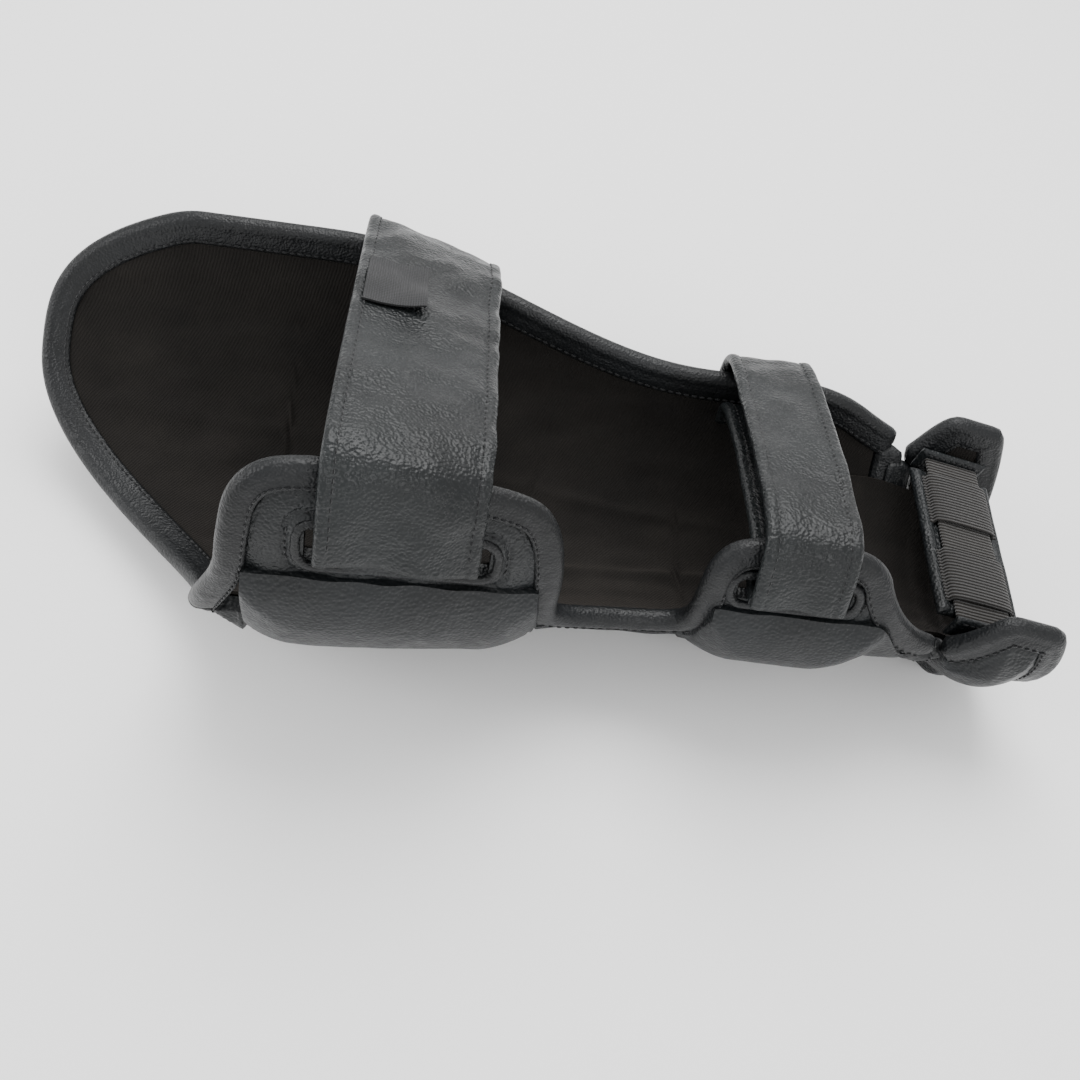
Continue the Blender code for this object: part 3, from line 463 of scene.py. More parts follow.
def stitch_row(name, places, body):
    """Copies of one stitch, each at (point, outward normal, way along)."""
    pattern = one_stitch()
    shape = [v.co.copy() for v in pattern.data.vertices]
    faces = [tuple(p.vertices) for p in pattern.data.polygons]
    bpy.data.objects.remove(pattern, do_unlink=True)
    verts, polys = [], []
    for i, (point, normal, forward) in enumerate(places):
        # each stitch lies a little off the row and is a little longer or shorter
        drift = noise.noise(Vector((i * 0.37, 0.5, 0.2)))
        side = forward.cross(normal).normalized()
        up = side.cross(forward).normalized()
        turn = Matrix((forward.normalized(), side, up)).transposed()
        start = len(verts)
        for co in shape:
            own = Vector((co.x * (1 + 0.12 * drift), co.y, co.z + THREAD * 0.15))
            own.y += co.x * 0.10 * drift + THREAD * 0.25 * drift
            verts.append(point + turn @ own)
        polys += [tuple(start + j for j in face) for face in faces]
    mesh = bpy.data.meshes.new(name)
    mesh.from_pydata(verts, [], polys)
    row = bpy.data.objects.new(name, mesh)
    bpy.context.scene.collection.objects.link(row)
    finish_mesh(row, THREAD_FINISH)
    if body:
        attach(row, body)
    return row


def along_edge(edge, inward, outward, start=0.0, end=1.0, pitch=STITCH_PITCH):
    count = max(1, round(edge.length * (end - start) / pitch))
    return [edge.at(mix(start, end, (k + 0.5) / count), inward, outward) for k in range(count)]


def dress(piece, body, slot_name, *nodes):
    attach(piece, body)
    if nodes:
        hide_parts(*nodes)
    return piece


# ---------------------------------------------------------------- outline of the shin part
def far_edge(x, inset=0.0):
    t = min(max((x - FAR_FALL) / (SHIN_LENGTH - FAR_FALL), 0.0), 1.0)
    drop = math.radians(FAR_EDGE - ANKLE_CORNER) * ANKLE_RADIUS
    slope = 2 * t * drop / (SHIN_LENGTH - FAR_FALL)
    angle = mix(FAR_EDGE, ANKLE_CORNER, t * t)
    return angle - degrees_for(inset * math.hypot(1, slope), shin_radius(x))


def knee_end(degrees):
    if degrees < KNEE_TIP:
        return KNEE_CUT * smooth((KNEE_TIP - degrees) / KNEE_CUT_REACH)
    return KNEE_ROUND * ((degrees - KNEE_TIP) / (FAR_EDGE - KNEE_TIP)) ** 3


def near_edge(x):
    low = LOW_EDGE - degrees_for(SETBACK, shin_radius(x))
    seam = SEAM - degrees_for(GAP, shin_radius(x))
    corner = ANKLE_CORNER - degrees_for(SETBACK, shin_radius(x))
    if x < UPPER_WING[0]:
        return low
    if x < UPPER_WING[1]:
        rise = smooth((x - UPPER_WING[0]) / 0.004)
        return mix(low, seam, min(rise, smooth((UPPER_WING[1] - x) / 0.004)))
    if x < LOWER_WING[1] - SETBACK:
        return mix(low, seam, smooth((x - LOWER_WING[0]) / 0.004))
    return mix(seam, corner, smooth((x - LOWER_WING[1] + SETBACK) / (SHIN_LENGTH - LOWER_WING[1])))


def panel_place(u, v):
    """(x, degrees) on the padded panel; v is x once past the knee end."""
    if v >= KNEE_FULL:
        return v, mix(-near_edge(v), far_edge(v, SETBACK), u)
    degrees = mix(-near_edge(0), far_edge(0, SETBACK), u)
    slope = (knee_end(degrees + 1) - knee_end(degrees - 1)) / (math.radians(2) * CALF_RADIUS)
    edge = knee_end(degrees) + SETBACK * 1.1 * math.hypot(1, slope)
    return mix(edge, KNEE_FULL, v / KNEE_FULL), degrees


def rim_distance(u, v):
    """How far a place on the panel is from its nearest bound edge."""
    x, _ = panel_place(u, v)
    width = math.radians(near_edge(x) + far_edge(x)) * shin_radius(x)
    beside = smooth((near_edge(x) - LOW_EDGE - 8) / 10) * 0.0008
    distance = min(u * width + beside, (1 - u) * width, x - panel_place(u, 0)[0],
                   SHIN_LENGTH - SETBACK - x)
    wing = UPPER_WING if x < mix(UPPER_WING[1], LOWER_WING[0], 0.5) else LOWER_WING
    below = LOW_EDGE - 16 + near_edge(x) - u * math.degrees(width / shin_radius(x))
    strip = smooth((below - LOW_EDGE) / 16) if v > KNEE_FULL - 0.006 else 0.0
    ends = max(0.0, min(x - wing[0], wing[1] - x)) + 0.0015
    return mix(distance, min(distance, ends), strip)


# ---------------------------------------------------------------- shin panel
def gathers(x, degrees):
    """Small folds that run in from the seams where the lining is eased onto the curve."""
    near = math.exp(-((degrees + 88) / 16) ** 2)
    wave = math.sin(x / 0.0062 + 1.3 * noise.noise(Vector((x * 60, 0, 0))))
    heel = math.exp(-((x - 0.352) / 0.012) ** 2)
    return 0.0007 * near * wave + 0.0005 * heel * math.sin(math.radians(degrees) * 22)


def lining_height(x, degrees, distance):
    """The lining's rise off its wall: long soft creases along the shin, tight at the edges."""
    free = smooth(distance / 0.020)
    at = Vector((x * 0.45, math.radians(degrees) * shin_radius(x), 0.0))
    long_fold = noise.noise(at / 0.016) + 0.5 * noise.noise(at / 0.007 + Vector((4, 2, 0)))
    crease = math.exp(-(((degrees + 14) - 60 * (x - 0.2)) / 3.0) ** 2) * smooth((x - 0.05) / 0.1)
    crease += 0.7 * math.exp(-(((degrees - 24) + 40 * (x - 0.2)) / 2.5) ** 2)
    return free * (0.0013 * long_fold - 0.0017 * crease * smooth((0.34 - x) / 0.05))


def knee_width(x):
    """Degrees of the panel at x, inside the slanting knee end."""
    inside = [a for a in range(-int(LOW_EDGE), int(FAR_EDGE)) if knee_end(a) < x]
    return len(inside)


def make_shin_lining():
    def place(u, v, w):
        reach = v * (SHIN_LENGTH - SETBACK)
        x, degrees = panel_place(u, reach)
        rise = lining_height(x, degrees, rim_distance(u, reach)) + gathers(x, degrees) * 0.6
        return on_shin(x, degrees, rise + mix(0.0001, LINING, w))

    piece = sewn_block("shin_lining_cloth", 96, 170, place, LINING_CLOTH)
    dress(piece, "shin_guard", "brushed_lining", "shin_lining")
    steps = 60
    for k in range(steps):
        x = SHIN_LENGTH * (k + 0.5) / steps
        degrees = near_edge(x) + far_edge(x) if x > KNEE_FULL else knee_width(x)


def make_shin_padding():
    """Foam under leathercloth, swelling away from every sewn edge."""

    def place(u, v, w):
        reach = v * (SHIN_LENGTH - SETBACK)
        x, degrees = panel_place(u, reach)
        distance = rim_distance(u, reach)
        foam = mix(FOAM_EDGE, FOAM, bulge(distance, FOAM_RAMP))
        if w < 0.5:
            rise = min(0.0, lining_height(x, degrees, distance))
            return on_shin(x, degrees, FOAM_FACE + 0.0003 + rise * 0.2)
        at = Vector((x, math.radians(degrees) * shin_radius(x), 0.3))
        pucker = math.sin((x + at.y) / 0.0045) * math.exp(-distance / 0.006) * 0.00035
        dent = 0.0007 * noise.noise(at / 0.030) + 0.0003 * noise.noise(at / 0.010)
        flat = smooth((abs(degrees) - 14) / 8)
        return on_shin(x, degrees, FOAM_FACE + foam + GAP + SKIN + pucker + dent * flat)

    piece = sewn_block("shin_padding", 96, 170, place, PADDED_LEATHER)
    dress(piece, "shin_guard", "synthetic_leather", "shin_cover", "shin_foam_core")
    return piece


def make_front_bar():
    """The raised bar: a flat-topped padded strip with a sewn flange on each side."""
    half = BAR_WIDTH / 2

    def place(u, v, w):
        across = 2 * u - 1
        x = mix(BAR_START, BAR_END, v)
        radius = shin_radius(x)
        slope = math.degrees(math.asin(across * half / (radius + FULL_BACK)))
        low = on_shin(x, slope, FULL_BACK - 0.0004)
        if w < 0.5:
            return low
        end = min(v, 1 - v) * (BAR_END - BAR_START)
        edge = min((1 - abs(across)) * half, end)
        rise = smooth((edge - 0.0012) / 0.0038)
        flange = 0.0009 * smooth(edge / 0.0008)
        top = SHIN @ Vector((x, across * (half - 0.0005), -FULL_BACK - GAP - BAR_HEIGHT))
        skirt = on_shin(x, slope, FULL_BACK + flange)
        return skirt.lerp(top, rise)

    piece = sewn_block("shin_bar_pad", 28, 150, place, LEATHER)
    dress(piece, "shin_guard", "synthetic_leather", "shin_front_bar")
    for name, side in (("outer", 1), ("inner", -1)):
        key = []
        for k in range(40):
            x = mix(BAR_START + 0.002, BAR_END - 0.002, k / 39)
            slope = math.degrees(math.asin(side * (half - 0.0011) / (shin_radius(x) + FULL_BACK)))
            key.append(on_shin(x, slope, FULL_BACK + 0.0009))
        edge = Edge(key, shin_outward)
        stitch_row(f"bar_stitches_{name}", along_edge(edge, 0, 0), "shin_guard")


# ---------------------------------------------------------------- wings
def slot_ring(x_low, x_high, margin, out, angle_margin=None):
    """Points round a slot, margin outside it, on the wing's outer face."""
    middle = (x_low + x_high) / 2
    radius = shin_radius(middle)
    rise = math.radians(SLOT_TO - SLOT_FROM) * radius / 2 + (margin if angle_margin is None
                                                             else angle_margin)
    half = (x_high - x_low) / 2 + margin
    corner = min(rise, 0.005 + margin * 0.6)
    points = []
    for side_x, side_a, start in ((1, 1, 0), (-1, 1, 90), (-1, -1, 180), (1, -1, 270)):
        for turn in range(0, 91, 15):
            angle = math.radians(start + turn)
            x = middle + side_x * (half - corner) + corner * math.cos(angle)
            rise_at = side_a * (rise - corner) + corner * math.sin(angle)
            points.append(on_shin(x, -SLOT_MIDDLE - degrees_for(rise_at, radius), out))
    return points


def make_wing(name, span, top, corner, slant, strap_x, strap_width):
    slot = (strap_x - strap_width / 2 - SLOT_PLAY, strap_x + strap_width / 2 + SLOT_PLAY)
    radius = shin_radius(strap_x)
    rim = top - degrees_for(SETBACK * 1.1, radius)
    seam = SEAM - 2.5
    us, vs = (0.0, 0.3, 0.7, 1.0), (0.0, 0.3, 0.6, 1.0)

    def across_angle(v):
        stops = (seam, SLOT_FROM, SLOT_TO, rim)
        k = 0 if v <= 0.3 else 1 if v <= 0.6 else 2
        return mix(stops[k], stops[k + 1], (v - vs[k]) / (vs[k + 1] - vs[k]))

    def spot(u, v):
        degrees = across_angle(v)
        t = max(0.0, (degrees - SEAM) / (rim - SEAM))
        back = 1 - math.sqrt(max(0.0, 1 - t * t))
        left = span[0] + SETBACK * 1.15 + corner * back
        right = span[1] - SETBACK * 1.3 - slant * t - (corner * back if not slant else 0.002 * t)
        stops = (left, max(slot[0], left + 0.002), min(slot[1], right - 0.002), right)
        k = 0 if u <= 0.3 else 1 if u <= 0.7 else 2
        return mix(stops[k], stops[k + 1], (u - us[k]) / (us[k + 1] - us[k])), degrees, left, right

    def slot_distance(x, degrees):
        beside = max(slot[0] - x, x - slot[1], 0.0)
        above = max(SLOT_FROM - degrees, degrees - SLOT_TO, 0.0)
        return math.hypot(beside, math.radians(above) * radius)

    def place(u, v, w):
        x, degrees, left, right = spot(u, v)
        if w < 0.5:
            return on_shin(x, -degrees, WING_LINING + 0.0002)
        edge = min(x - left, right - x, math.radians(rim - degrees) * radius)
        from_slot = slot_distance(x, degrees)
        puff = mix(0.72, 1.0, bulge(edge, 0.010))
        # a pressed groove outside the slot's frame, then a low welt
        groove = -0.0010 * math.exp(-((from_slot - 0.0062) / 0.0011) ** 2)
        welt = 0.0006 * math.exp(-((from_slot - 0.0038) / 0.0014) ** 2)
        low = math.exp(-math.radians(degrees - seam) * radius / 0.006)
        fold = 0.0006 * low * math.sin(x / 0.0043 + 2 * noise.noise(Vector((x * 90, 1, 0))))
        at = Vector((x, degrees * 0.0014, 0.0))
        soft = 0.0005 * noise.noise(at / 0.012)
        return on_shin(x, -degrees, WING_LINING + GAP + WING * puff + groove + welt + fold + soft)

    hole = (0.3, 0.7, 0.3, 0.6)
    piece = sewn_block(f"{name}_wing_pad", 90, 40, place, LEATHER, hole)
    dress(piece, "shin_guard", "synthetic_leather", f"{name}_wing_panel")

    def lining(u, v, w):
        x, degrees, _, _ = spot(u, v)
        soft = 0.0003 * noise.noise(Vector((x, degrees * 0.0014, 0.5)) / 0.012)
        return on_shin(x, -degrees, mix(0.0, WING_LINING, w) + soft)

    inside = sewn_block(f"{name}_wing_lining_cloth", 60, 30, lining, LINING_CLOTH, hole)
    dress(inside, "shin_guard", "brushed_lining", f"{name}_wing_lining")

    cord = Edge(slot_ring(*slot, SLOT_CORD + 0.0012, WING_BACK + 0.0002), shin_outward, ring=True,
                rounds=1, step=0.0014)

    def cord_place(s, t):
        angle = 2 * math.pi * t
        point, normal, forward = cord.at(s)
        side = forward.cross(normal)
        thick = SLOT_CORD * (1 + 0.08 * noise.noise(point / 0.006))
        return point + side * (math.cos(angle) * thick * 1.1) + normal * (math.sin(angle) * thick)

    ring = rolled_tube(f"{name}_slot_cord", cord.count, 14, cord_place, ROLLED, ring=True)
    dress(ring, "shin_guard", "synthetic_leather", f"{name}_slot_frame")
    sewn = Edge(slot_ring(*slot, 0.0062, WING_BACK - 0.0006, 0.0058), shin_outward, ring=True,
                rounds=1)
    stitch_row(f"{name}_slot_stitches", along_edge(sewn, 0, 0), "shin_guard")
    seam_key = [on_shin(mix(span[0] + 0.004, span[1] - 0.006, k / 40), -seam - 2.0,
                        WING_BACK - 0.0008) for k in range(41)]
    stitch_row(f"{name}_seam_stitches", along_edge(Edge(seam_key, shin_outward), 0, 0),
               "shin_guard")


# ---------------------------------------------------------------- rolled bindings
ROLL_NOSE = 0.52  # the share of the section that is the round nose
FLAP_IN, FLAP_OUT = 0.0086, 0.0070  # how far each flap runs in over the lining and the cover


def roll_section(t, front, back):
    """The rolled binding's section: a round nose, and a flap on each face that runs in over the
    edge. t goes once round; the result is (inward, outward) in metres."""
    if t < ROLL_NOSE:
        angle = math.radians(mix(-100, 100, t / ROLL_NOSE))
        return -ROLL * math.cos(angle), ROLL * math.sin(angle)
    share = (t - ROLL_NOSE) / (1 - ROLL_NOSE)
    out_line = [(0.0012, ROLL), (0.0034, front + 0.0010), (FLAP_OUT - 0.0006, front + 0.0008),
                (FLAP_OUT, front - 0.0006), (0.0030, front - 0.0012), (0.0022, 0.0),
                (0.0030, back + 0.0012), (FLAP_IN, back + 0.0004), (FLAP_IN - 0.0004, back - 0.0008),
                (0.0036, back - 0.0009), (0.0012, -ROLL)]
    reach = share * (len(out_line) - 1)
    i = min(int(reach), len(out_line) - 2)
    a, b = Vector(out_line[i]), Vector(out_line[i + 1])
    return tuple(a.lerp(b, reach - i))


def make_binding(name, edge, body, front, back, *nodes, stitch_sides=(1, -1)):
    """Leathercloth folded round the edge and sewn through, slightly lumpy between stitches."""

    def place(s, t):
        inward, outward = roll_section(t, front, back)
        point, normal, _ = edge.at(s)
        end = min(s, 1 - s) * edge.length
        if end < 0.004 and not edge.ring:
            draw_in = mix(0.35, 1.0, math.sqrt(max(0.0, 1 - (1 - end / 0.004) ** 2)))
            inward, outward = mix(0.002, inward, draw_in), outward * draw_in
        side = edge.at(s, 1.0)[0] - point
        lump = 1 + 0.035 * noise.noise(point / 0.009) + 0.02 * math.sin(s * edge.length / 0.0011)
        return point + side * inward + normal * (outward * lump if abs(inward) < 0.003
                                                 else outward)

    piece = rolled_tube(name, edge.count, 46, place, ROLLED)
    dress(piece, body, "leather_binding", *nodes)
    for side in stitch_sides:
        high = front + 0.0010 if side > 0 else back - 0.0010
        inward = 0.0054 if side > 0 else 0.0066
        places = along_edge(edge, inward, high, 0.004, 0.996)
        if side < 0:
            places = [(point, -normal, forward) for point, normal, forward in places]
        stitch_row(f"{name}_stitches_{'front' if side > 0 else 'lining'}", places, body)
    return piece


def rim_point(x, degrees):
    return on_shin(x, degrees, EDGE_MIDDLE)


def shin_edges():
    start = LOW_EDGE - 2
    count = 34
    knee = [rim_point(knee_end(a), a)
            for a in [mix(-start, FAR_EDGE, k / count) for k in range(count + 1)]]
    side = [rim_point(x, far_edge(x)) for x in [mix(KNEE_ROUND + 0.014, SHIN_LENGTH + ROLL, k / 26)
                                                for k in range(27)]]
    rim = Edge(knee + side, shin_outward, flip=-1)

    back, front, top = *UPPER_WING, UPPER_WING_TOP
    low = LOW_EDGE
    key = [(KNEE_CUT, start - 2.5), (KNEE_CUT + 0.003, low + 6), (back, SEAM - 4),
           (back + 0.001, SEAM + 8), (back + 0.004, top - 6), (back + UPPER_WING_CORNER, top),
           (UPPER_STRAP_X, top), (front - UPPER_WING_CORNER + 0.004, top),
           (front - 0.004, top - 7), (front, SEAM + 4), (front, low + 12),
           (front + 0.004, low + 2), (mix(front, LOWER_WING[0], 0.5), low - 1),
           (LOWER_WING[0] - 0.006, low + 1), (LOWER_WING[0], low + 12),
           (LOWER_WING[0], SEAM + 4)]
    back, front, top = *LOWER_WING, LOWER_WING_TOP
    key += [(back + 0.001, top - 8), (back + LOWER_WING_CORNER, top), (LOWER_STRAP_X, top),
            (front - LOWER_WING_SLANT - 0.002, top), (front - 0.004, SEAM + 6),
            (mix(front, SHIN_LENGTH, 0.6), mix(SEAM, ANKLE_CORNER, 0.7)),
            (SHIN_LENGTH + ROLL, ANKLE_CORNER)]
    near = Edge([rim_point(x, -a) for x, a in key], shin_outward, rounds=3, flip=1)
    reach = ANKLE_CORNER - degrees_for(ROLL / 2, ANKLE_RADIUS)
    ankle = Edge([rim_point(SHIN_LENGTH, mix(-reach, reach, k / 20)) for k in range(21)],
                 shin_outward, flip=-1)
    return rim, near, ankle


# ---------------------------------------------------------------- straps
def cut_corners(points, rounds):
    for _ in range(rounds):
        cut = [points[0]]
        for a, b in zip(points, points[1:]):
            cut += [a.lerp(b, 0.25), a.lerp(b, 0.75)]
        points = cut + [points[-1]]
    return points


def even_line(points, count):
    along = [0.0]
    for a, b in zip(points, points[1:]):
        along.append(along[-1] + (b - a).length)
    result, k = [], 0
    for i in range(count + 1):
        reach = along[-1] * i / count
        while k < len(points) - 2 and along[k + 1] < reach:
            k += 1
        result.append(points[k].lerp(points[k + 1], (reach - along[k]) / (along[k + 1] - along[k])))
    return result, along[-1]


def cover_out(x, degrees):
    distance = math.radians(FAR_EDGE - degrees) * shin_radius(x) - SETBACK
    return EDGE_BACK + (FOAM - FOAM_EDGE) * bulge(distance, FOAM_RAMP)


def base_stops(x, top):
    radius = shin_radius(x)
    inside = -STRAP / 2 - 0.0014
    past_rim = EDGE_MIDDLE - ROLL + inside
    return [(FAR_EDGE - degrees_for(0.016, radius), inside),
            (FAR_EDGE - degrees_for(0.001, radius), past_rim),
            (-top + degrees_for(0.001, radius), past_rim), (-SLOT_TO, inside),
            (-SLOT_MIDDLE, inside + 0.001), (-SLOT_MIDDLE, 0.002),
            (-SLOT_MIDDLE, TAIL_OUT - STRAP / 2 - GAP)]


def tail_stops(x, top, reach):
    radius = shin_radius(x)
    past = degrees_for(ROLL + STRAP / 2 + 0.0022, radius)
    rim_out = EDGE_MIDDLE + ROLL + STRAP / 2 + 0.0022
    stops = [(-SLOT_MIDDLE, TAIL_OUT), (-top + 2, TAIL_OUT), (-top - past - 3, TAIL_OUT),
             (FAR_EDGE + past + 4, rim_out), (FAR_EDGE, rim_out)]
    steps = max(1, math.ceil((reach - 0.010) / 0.006 - 1e-6))
    for arc in [mix(0.010, reach, k / steps) for k in range(steps + 1)]:
        degrees = FAR_EDGE - degrees_for(arc, radius)
        stops.append((degrees, cover_out(x, degrees) + PATCH_STACK + STRAP / 2 + TAIL_LIFT))
    return stops


SOFTEN = 14  # rounds of easing a strap's bends: it is too stiff to fold sharply


class StrapPath:
    """The middle surface of a strap: lines through its stops at stations across its width."""

    def __init__(self, stops, x, half, count, rounds=4):
        self.half, self.count, self.stations = half, count, 8
        self.lines = []
        for k in range(self.stations + 1):
            at = x + mix(-half, half, k / self.stations)
            corners = [Vector(on_section(shin_radius(at), a, out)) for a, out in stops(at)]
            line, length = even_line(cut_corners(corners, rounds), count)
            for _ in range(SOFTEN):
                line = ([line[0]] + [(a + 2 * b + c) / 4 for a, b, c in
                                     zip(line, line[1:], line[2:])] + [line[-1]])
            self.lines.append([SHIN @ Vector((at, *p)) for p in line])
            if k == self.stations // 2:
                self.length = length

    def point(self, s, across):
        """Middle surface at share s along and distance across (m) from the middle."""
        i = min(max((across / self.half + 1) / 2, 0), 1) * self.stations
        j = min(max(s, 0), 1) * self.count
        i0, j0 = min(int(i), self.stations - 1), min(int(j), self.count - 1)
        a = self.lines[i0][j0].lerp(self.lines[i0][j0 + 1], j - j0)
        b = self.lines[i0 + 1][j0].lerp(self.lines[i0 + 1][j0 + 1], j - j0)
        return a.lerp(b, i - i0)

    def frame_at(self, s, across):
        """(point, outward normal, way along)."""
        ds, dw = 0.75 / self.count, self.half * 0.06
        along = self.point(s + ds, across) - self.point(s - ds, across)
        over = self.point(s, min(across + dw, self.half)) - self.point(s, max(across - dw,
                                                                              -self.half))
        normal = over.cross(along).normalized()
        return self.point(s, across), normal, along.normalized()


def strap_drape(path, s, across, seed, slack):
    """How the strap's middle stands off its path: shallow dents, and creases drawn to the slot."""
    at = Vector((across, s * path.length, seed))
    dents = noise.noise(at / 0.024) + 0.45 * noise.noise(at / 0.010)
    drawn = math.sin(across / path.half * 5.2 + seed) * math.exp(-s * path.length / 0.022)
    return slack * (0.0019 * dents + 0.0010 * drawn)


def make_strap(name, path, slack, seed, round_end):
    """A leathercloth strap with a turned hem, sewn down along both edges and round its end."""
    half = path.half
    corner = min(0.011, half * 0.6)

    def half_width(s):
        left = (1 - s) * path.length
        if not round_end or left > corner:
            return half
        return half - corner + math.sqrt(max(0.0, corner ** 2 - (corner - left) ** 2))

    def thickness(edge):
        """Half the strap's thickness by distance from its edge."""
        nose = math.sqrt(max(0.0, 1 - (1 - min(edge / 0.0021, 1.0)) ** 2))
        hemmed = STRAP_EDGE_PROUD * smooth((STRAP_EDGE + 0.0006 - edge) / 0.0012)
        groove = 0.00045 * math.exp(-((edge - STRAP_EDGE + 0.0002) / 0.0008) ** 2)
        return (STRAP / 2 + hemmed - groove) * nose

    def place(s, t):
        share = -math.cos(2 * math.pi * t)
        top = 1 if t < 0.5 else -1
        wide = half_width(s)
        across = share * wide
        left = (1 - s) * path.length if round_end else 1.0
        edge = min((1 - abs(share)) * wide, left)
        point, normal, _ = path.frame_at(s, across)
        drape = strap_drape(path, s, across, seed, slack)
        return point + normal * (drape + top * thickness(edge))

    piece = rolled_tube(name, path.count, 72, place, STRAP_FACE)
    rows = []
    inset = STRAP_EDGE - 0.0004
    count = round(path.length / STITCH_PITCH)
    for side in (-1, 1):
        for face in (1, -1):
            row = []
            for k in range(2, count - 1):
                s = (k + 0.5) / count
                across = side * (half_width(s) - inset)
                if (1 - s) * path.length < inset and round_end:
                    continue
                point, normal, forward = path.frame_at(s, across)
                lift = strap_drape(path, s, across, seed, slack) + face * (STRAP / 2 - 0.0001)
                ahead = path.point(s + 0.01, side * (half_width(s + 0.01) - inset))
                way = (ahead - path.point(s, across)).normalized()
                row.append((point + normal * lift, normal * face, way if round_end else forward))
            rows += row
    if round_end:
        s = 1 - inset / path.length
        wide = half_width(s) - inset
        across_count = max(2, round(2 * wide / STITCH_PITCH))
        for face in (1, -1):
            for k in range(across_count):
                across = mix(-wide, wide, (k + 0.5) / across_count)
                point, normal, forward = path.frame_at(s, across)
                lift = strap_drape(path, s, across, seed, slack) + face * (STRAP / 2 - 0.0001)
                rows.append((point + normal * lift, normal * face, normal.cross(forward)))
    sewn = stitch_row(f"{name}_stitches", rows, None)
    return piece, sewn


def make_straps(name, x, width, top, reach, slack, seed):
    half = width / 2
    base = StrapPath(lambda at: base_stops(at, top), x, half, 120)
    piece, sewn = make_strap(f"{name}_strap_inner", base, slack * 0.5, seed + 3, False)
    nodes = [f"{name}_strap_base", f"{name}_base_rear_binding", f"{name}_base_front_binding"]
    dress(piece, "shin_guard", "synthetic_leather", *nodes)
    dress(sewn, "shin_guard", "leather_binding")

    tail = StrapPath(lambda at: tail_stops(at, top, reach), x, half, 150)
    piece, sewn = make_strap(f"{name}_strap_flap", tail, slack, seed, True)
    nodes = [f"{name}_strap_tail", f"{name}_tail_rear_binding", f"{name}_tail_front_binding"]
    start = tail.point(0.02, 0)
    end = tail.point(0.02 + 0.030 / tail.length, 0)
    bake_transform(piece)
    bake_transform(sewn)
    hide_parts(*nodes)
    make_tapes(name, x, half - STRAP_EDGE - GAP - 0.003, reach)
    return tail


def make_tapes(name, x, half, reach):
    """Loop tape on the cover and hook tape under the flap's end, each with a low selvedge."""
    radius = shin_radius(x)

    def tape(low, height, spread, seed):
        def place(u, v, w):
            arc = mix(0.0105, reach, v)
            at = x + (2 * u - 1) * spread
            degrees = FAR_EDGE - degrees_for(arc, radius)
            edge = min(u, 1 - u) * 2 * spread
            edge = min(edge, min(v, 1 - v) * (reach - 0.0105))
            pile = height * mix(0.55, 1.0, smooth((edge - 0.0016) / 0.0010))
            fuzz = 0.00012 * noise.noise(Vector((at, arc, seed)) / 0.0012)
            rise = low if w < 0.5 else low + pile + fuzz
            return on_shin(at, degrees, cover_out(at, degrees) + rise)
        return place

    low = 2 * GAP
    loop = sewn_block(f"{name}_loop_tape", 60, 34, tape(low, LOOP, half + 0.010, 1.0), LOOP_TAPE)
    dress(loop, "shin_guard", "loop_tape", f"{name}_loop_patch")
    low += GAP + LOOP
    hook = sewn_block(f"{name}_hook_tape", 50, 34, tape(low, HOOK, half, 2.0), HOOK_TAPE)
    dress(hook, f"{name}_tail", "hook_tape", f"{name}_hook_patch")


def make_label(tail):
    """A folded damask label caught in the hem of the upper flap: plain."""
    rear = STRAP_EDGE - UPPER_STRAP_WIDTH / 2 - 0.0012

    def place(u, v, w):
        s = LABEL_START + LABEL_SHARE * v
        across = rear + LABEL_WIDTH * u
        point, normal, _ = tail.frame_at(s, across)
        drape = strap_drape(tail, s, across, 0.0, 1.0)
        curl = 0.0022 * smooth((u - 0.35) / 0.65) ** 2 + 0.0007 * math.sin(v * 5 + u)
        rise = STRAP / 2 + STRAP_EDGE_PROUD * 0.6 + 0.0004 + curl + 0.0007 * w
        return point + normal * (drape + rise)

    piece = sewn_block("plain_size_label", 30, 40, place, LABEL_CLOTH)
    dress(piece, "upper_tail", "woven_label", "size_label")


# ---------------------------------------------------------------- instep part
def foot_start(degrees):
    _, z = on_section(FOOT_RADIUS, degrees, 0)
    bend = math.radians(FOOT_BEND)
    return (ANKLE_GAP / 2 - (z + HINGE_DEPTH) * math.sin(bend)) / math.cos(bend)


def foot_side(v, wing, inset):
    t = min(v / 0.45, 1.0)
    rise = math.radians(wing - FOOT_DIP) * FOOT_RADIUS
    trim = 1.12 * math.hypot(1, rise * 6 * t * (1 - t) / (0.45 * FOOT_LENGTH))
    return mix(FOOT_DIP, wing, smooth(t)) - degrees_for(inset * trim, FOOT_RADIUS)


def foot_end(w, inset):
    corner = max(0.0, (abs(2 * w - 1) - 0.62) / 0.38)
    return FOOT_LENGTH - FOOT_CORNER * corner ** 2 - inset


def foot_place(u, v, inset):
    trim = degrees_for(inset, FOOT_RADIUS)
    start = foot_start(mix(trim - FOOT_DIP, FOOT_DIP - trim, u)) + inset * 1.1
    x = mix(start, foot_end(u, inset), v)
    return x, mix(-foot_side(v, FOOT_NEAR, inset), foot_side(v, FOOT_FAR, inset), u)


def foot_distance(u, v):
    arc = math.radians(FOOT_FAR + FOOT_NEAR) * FOOT_RADIUS
    return min(u * arc, (1 - u) * arc, v * FOOT_LENGTH, (1 - v) * FOOT_LENGTH)


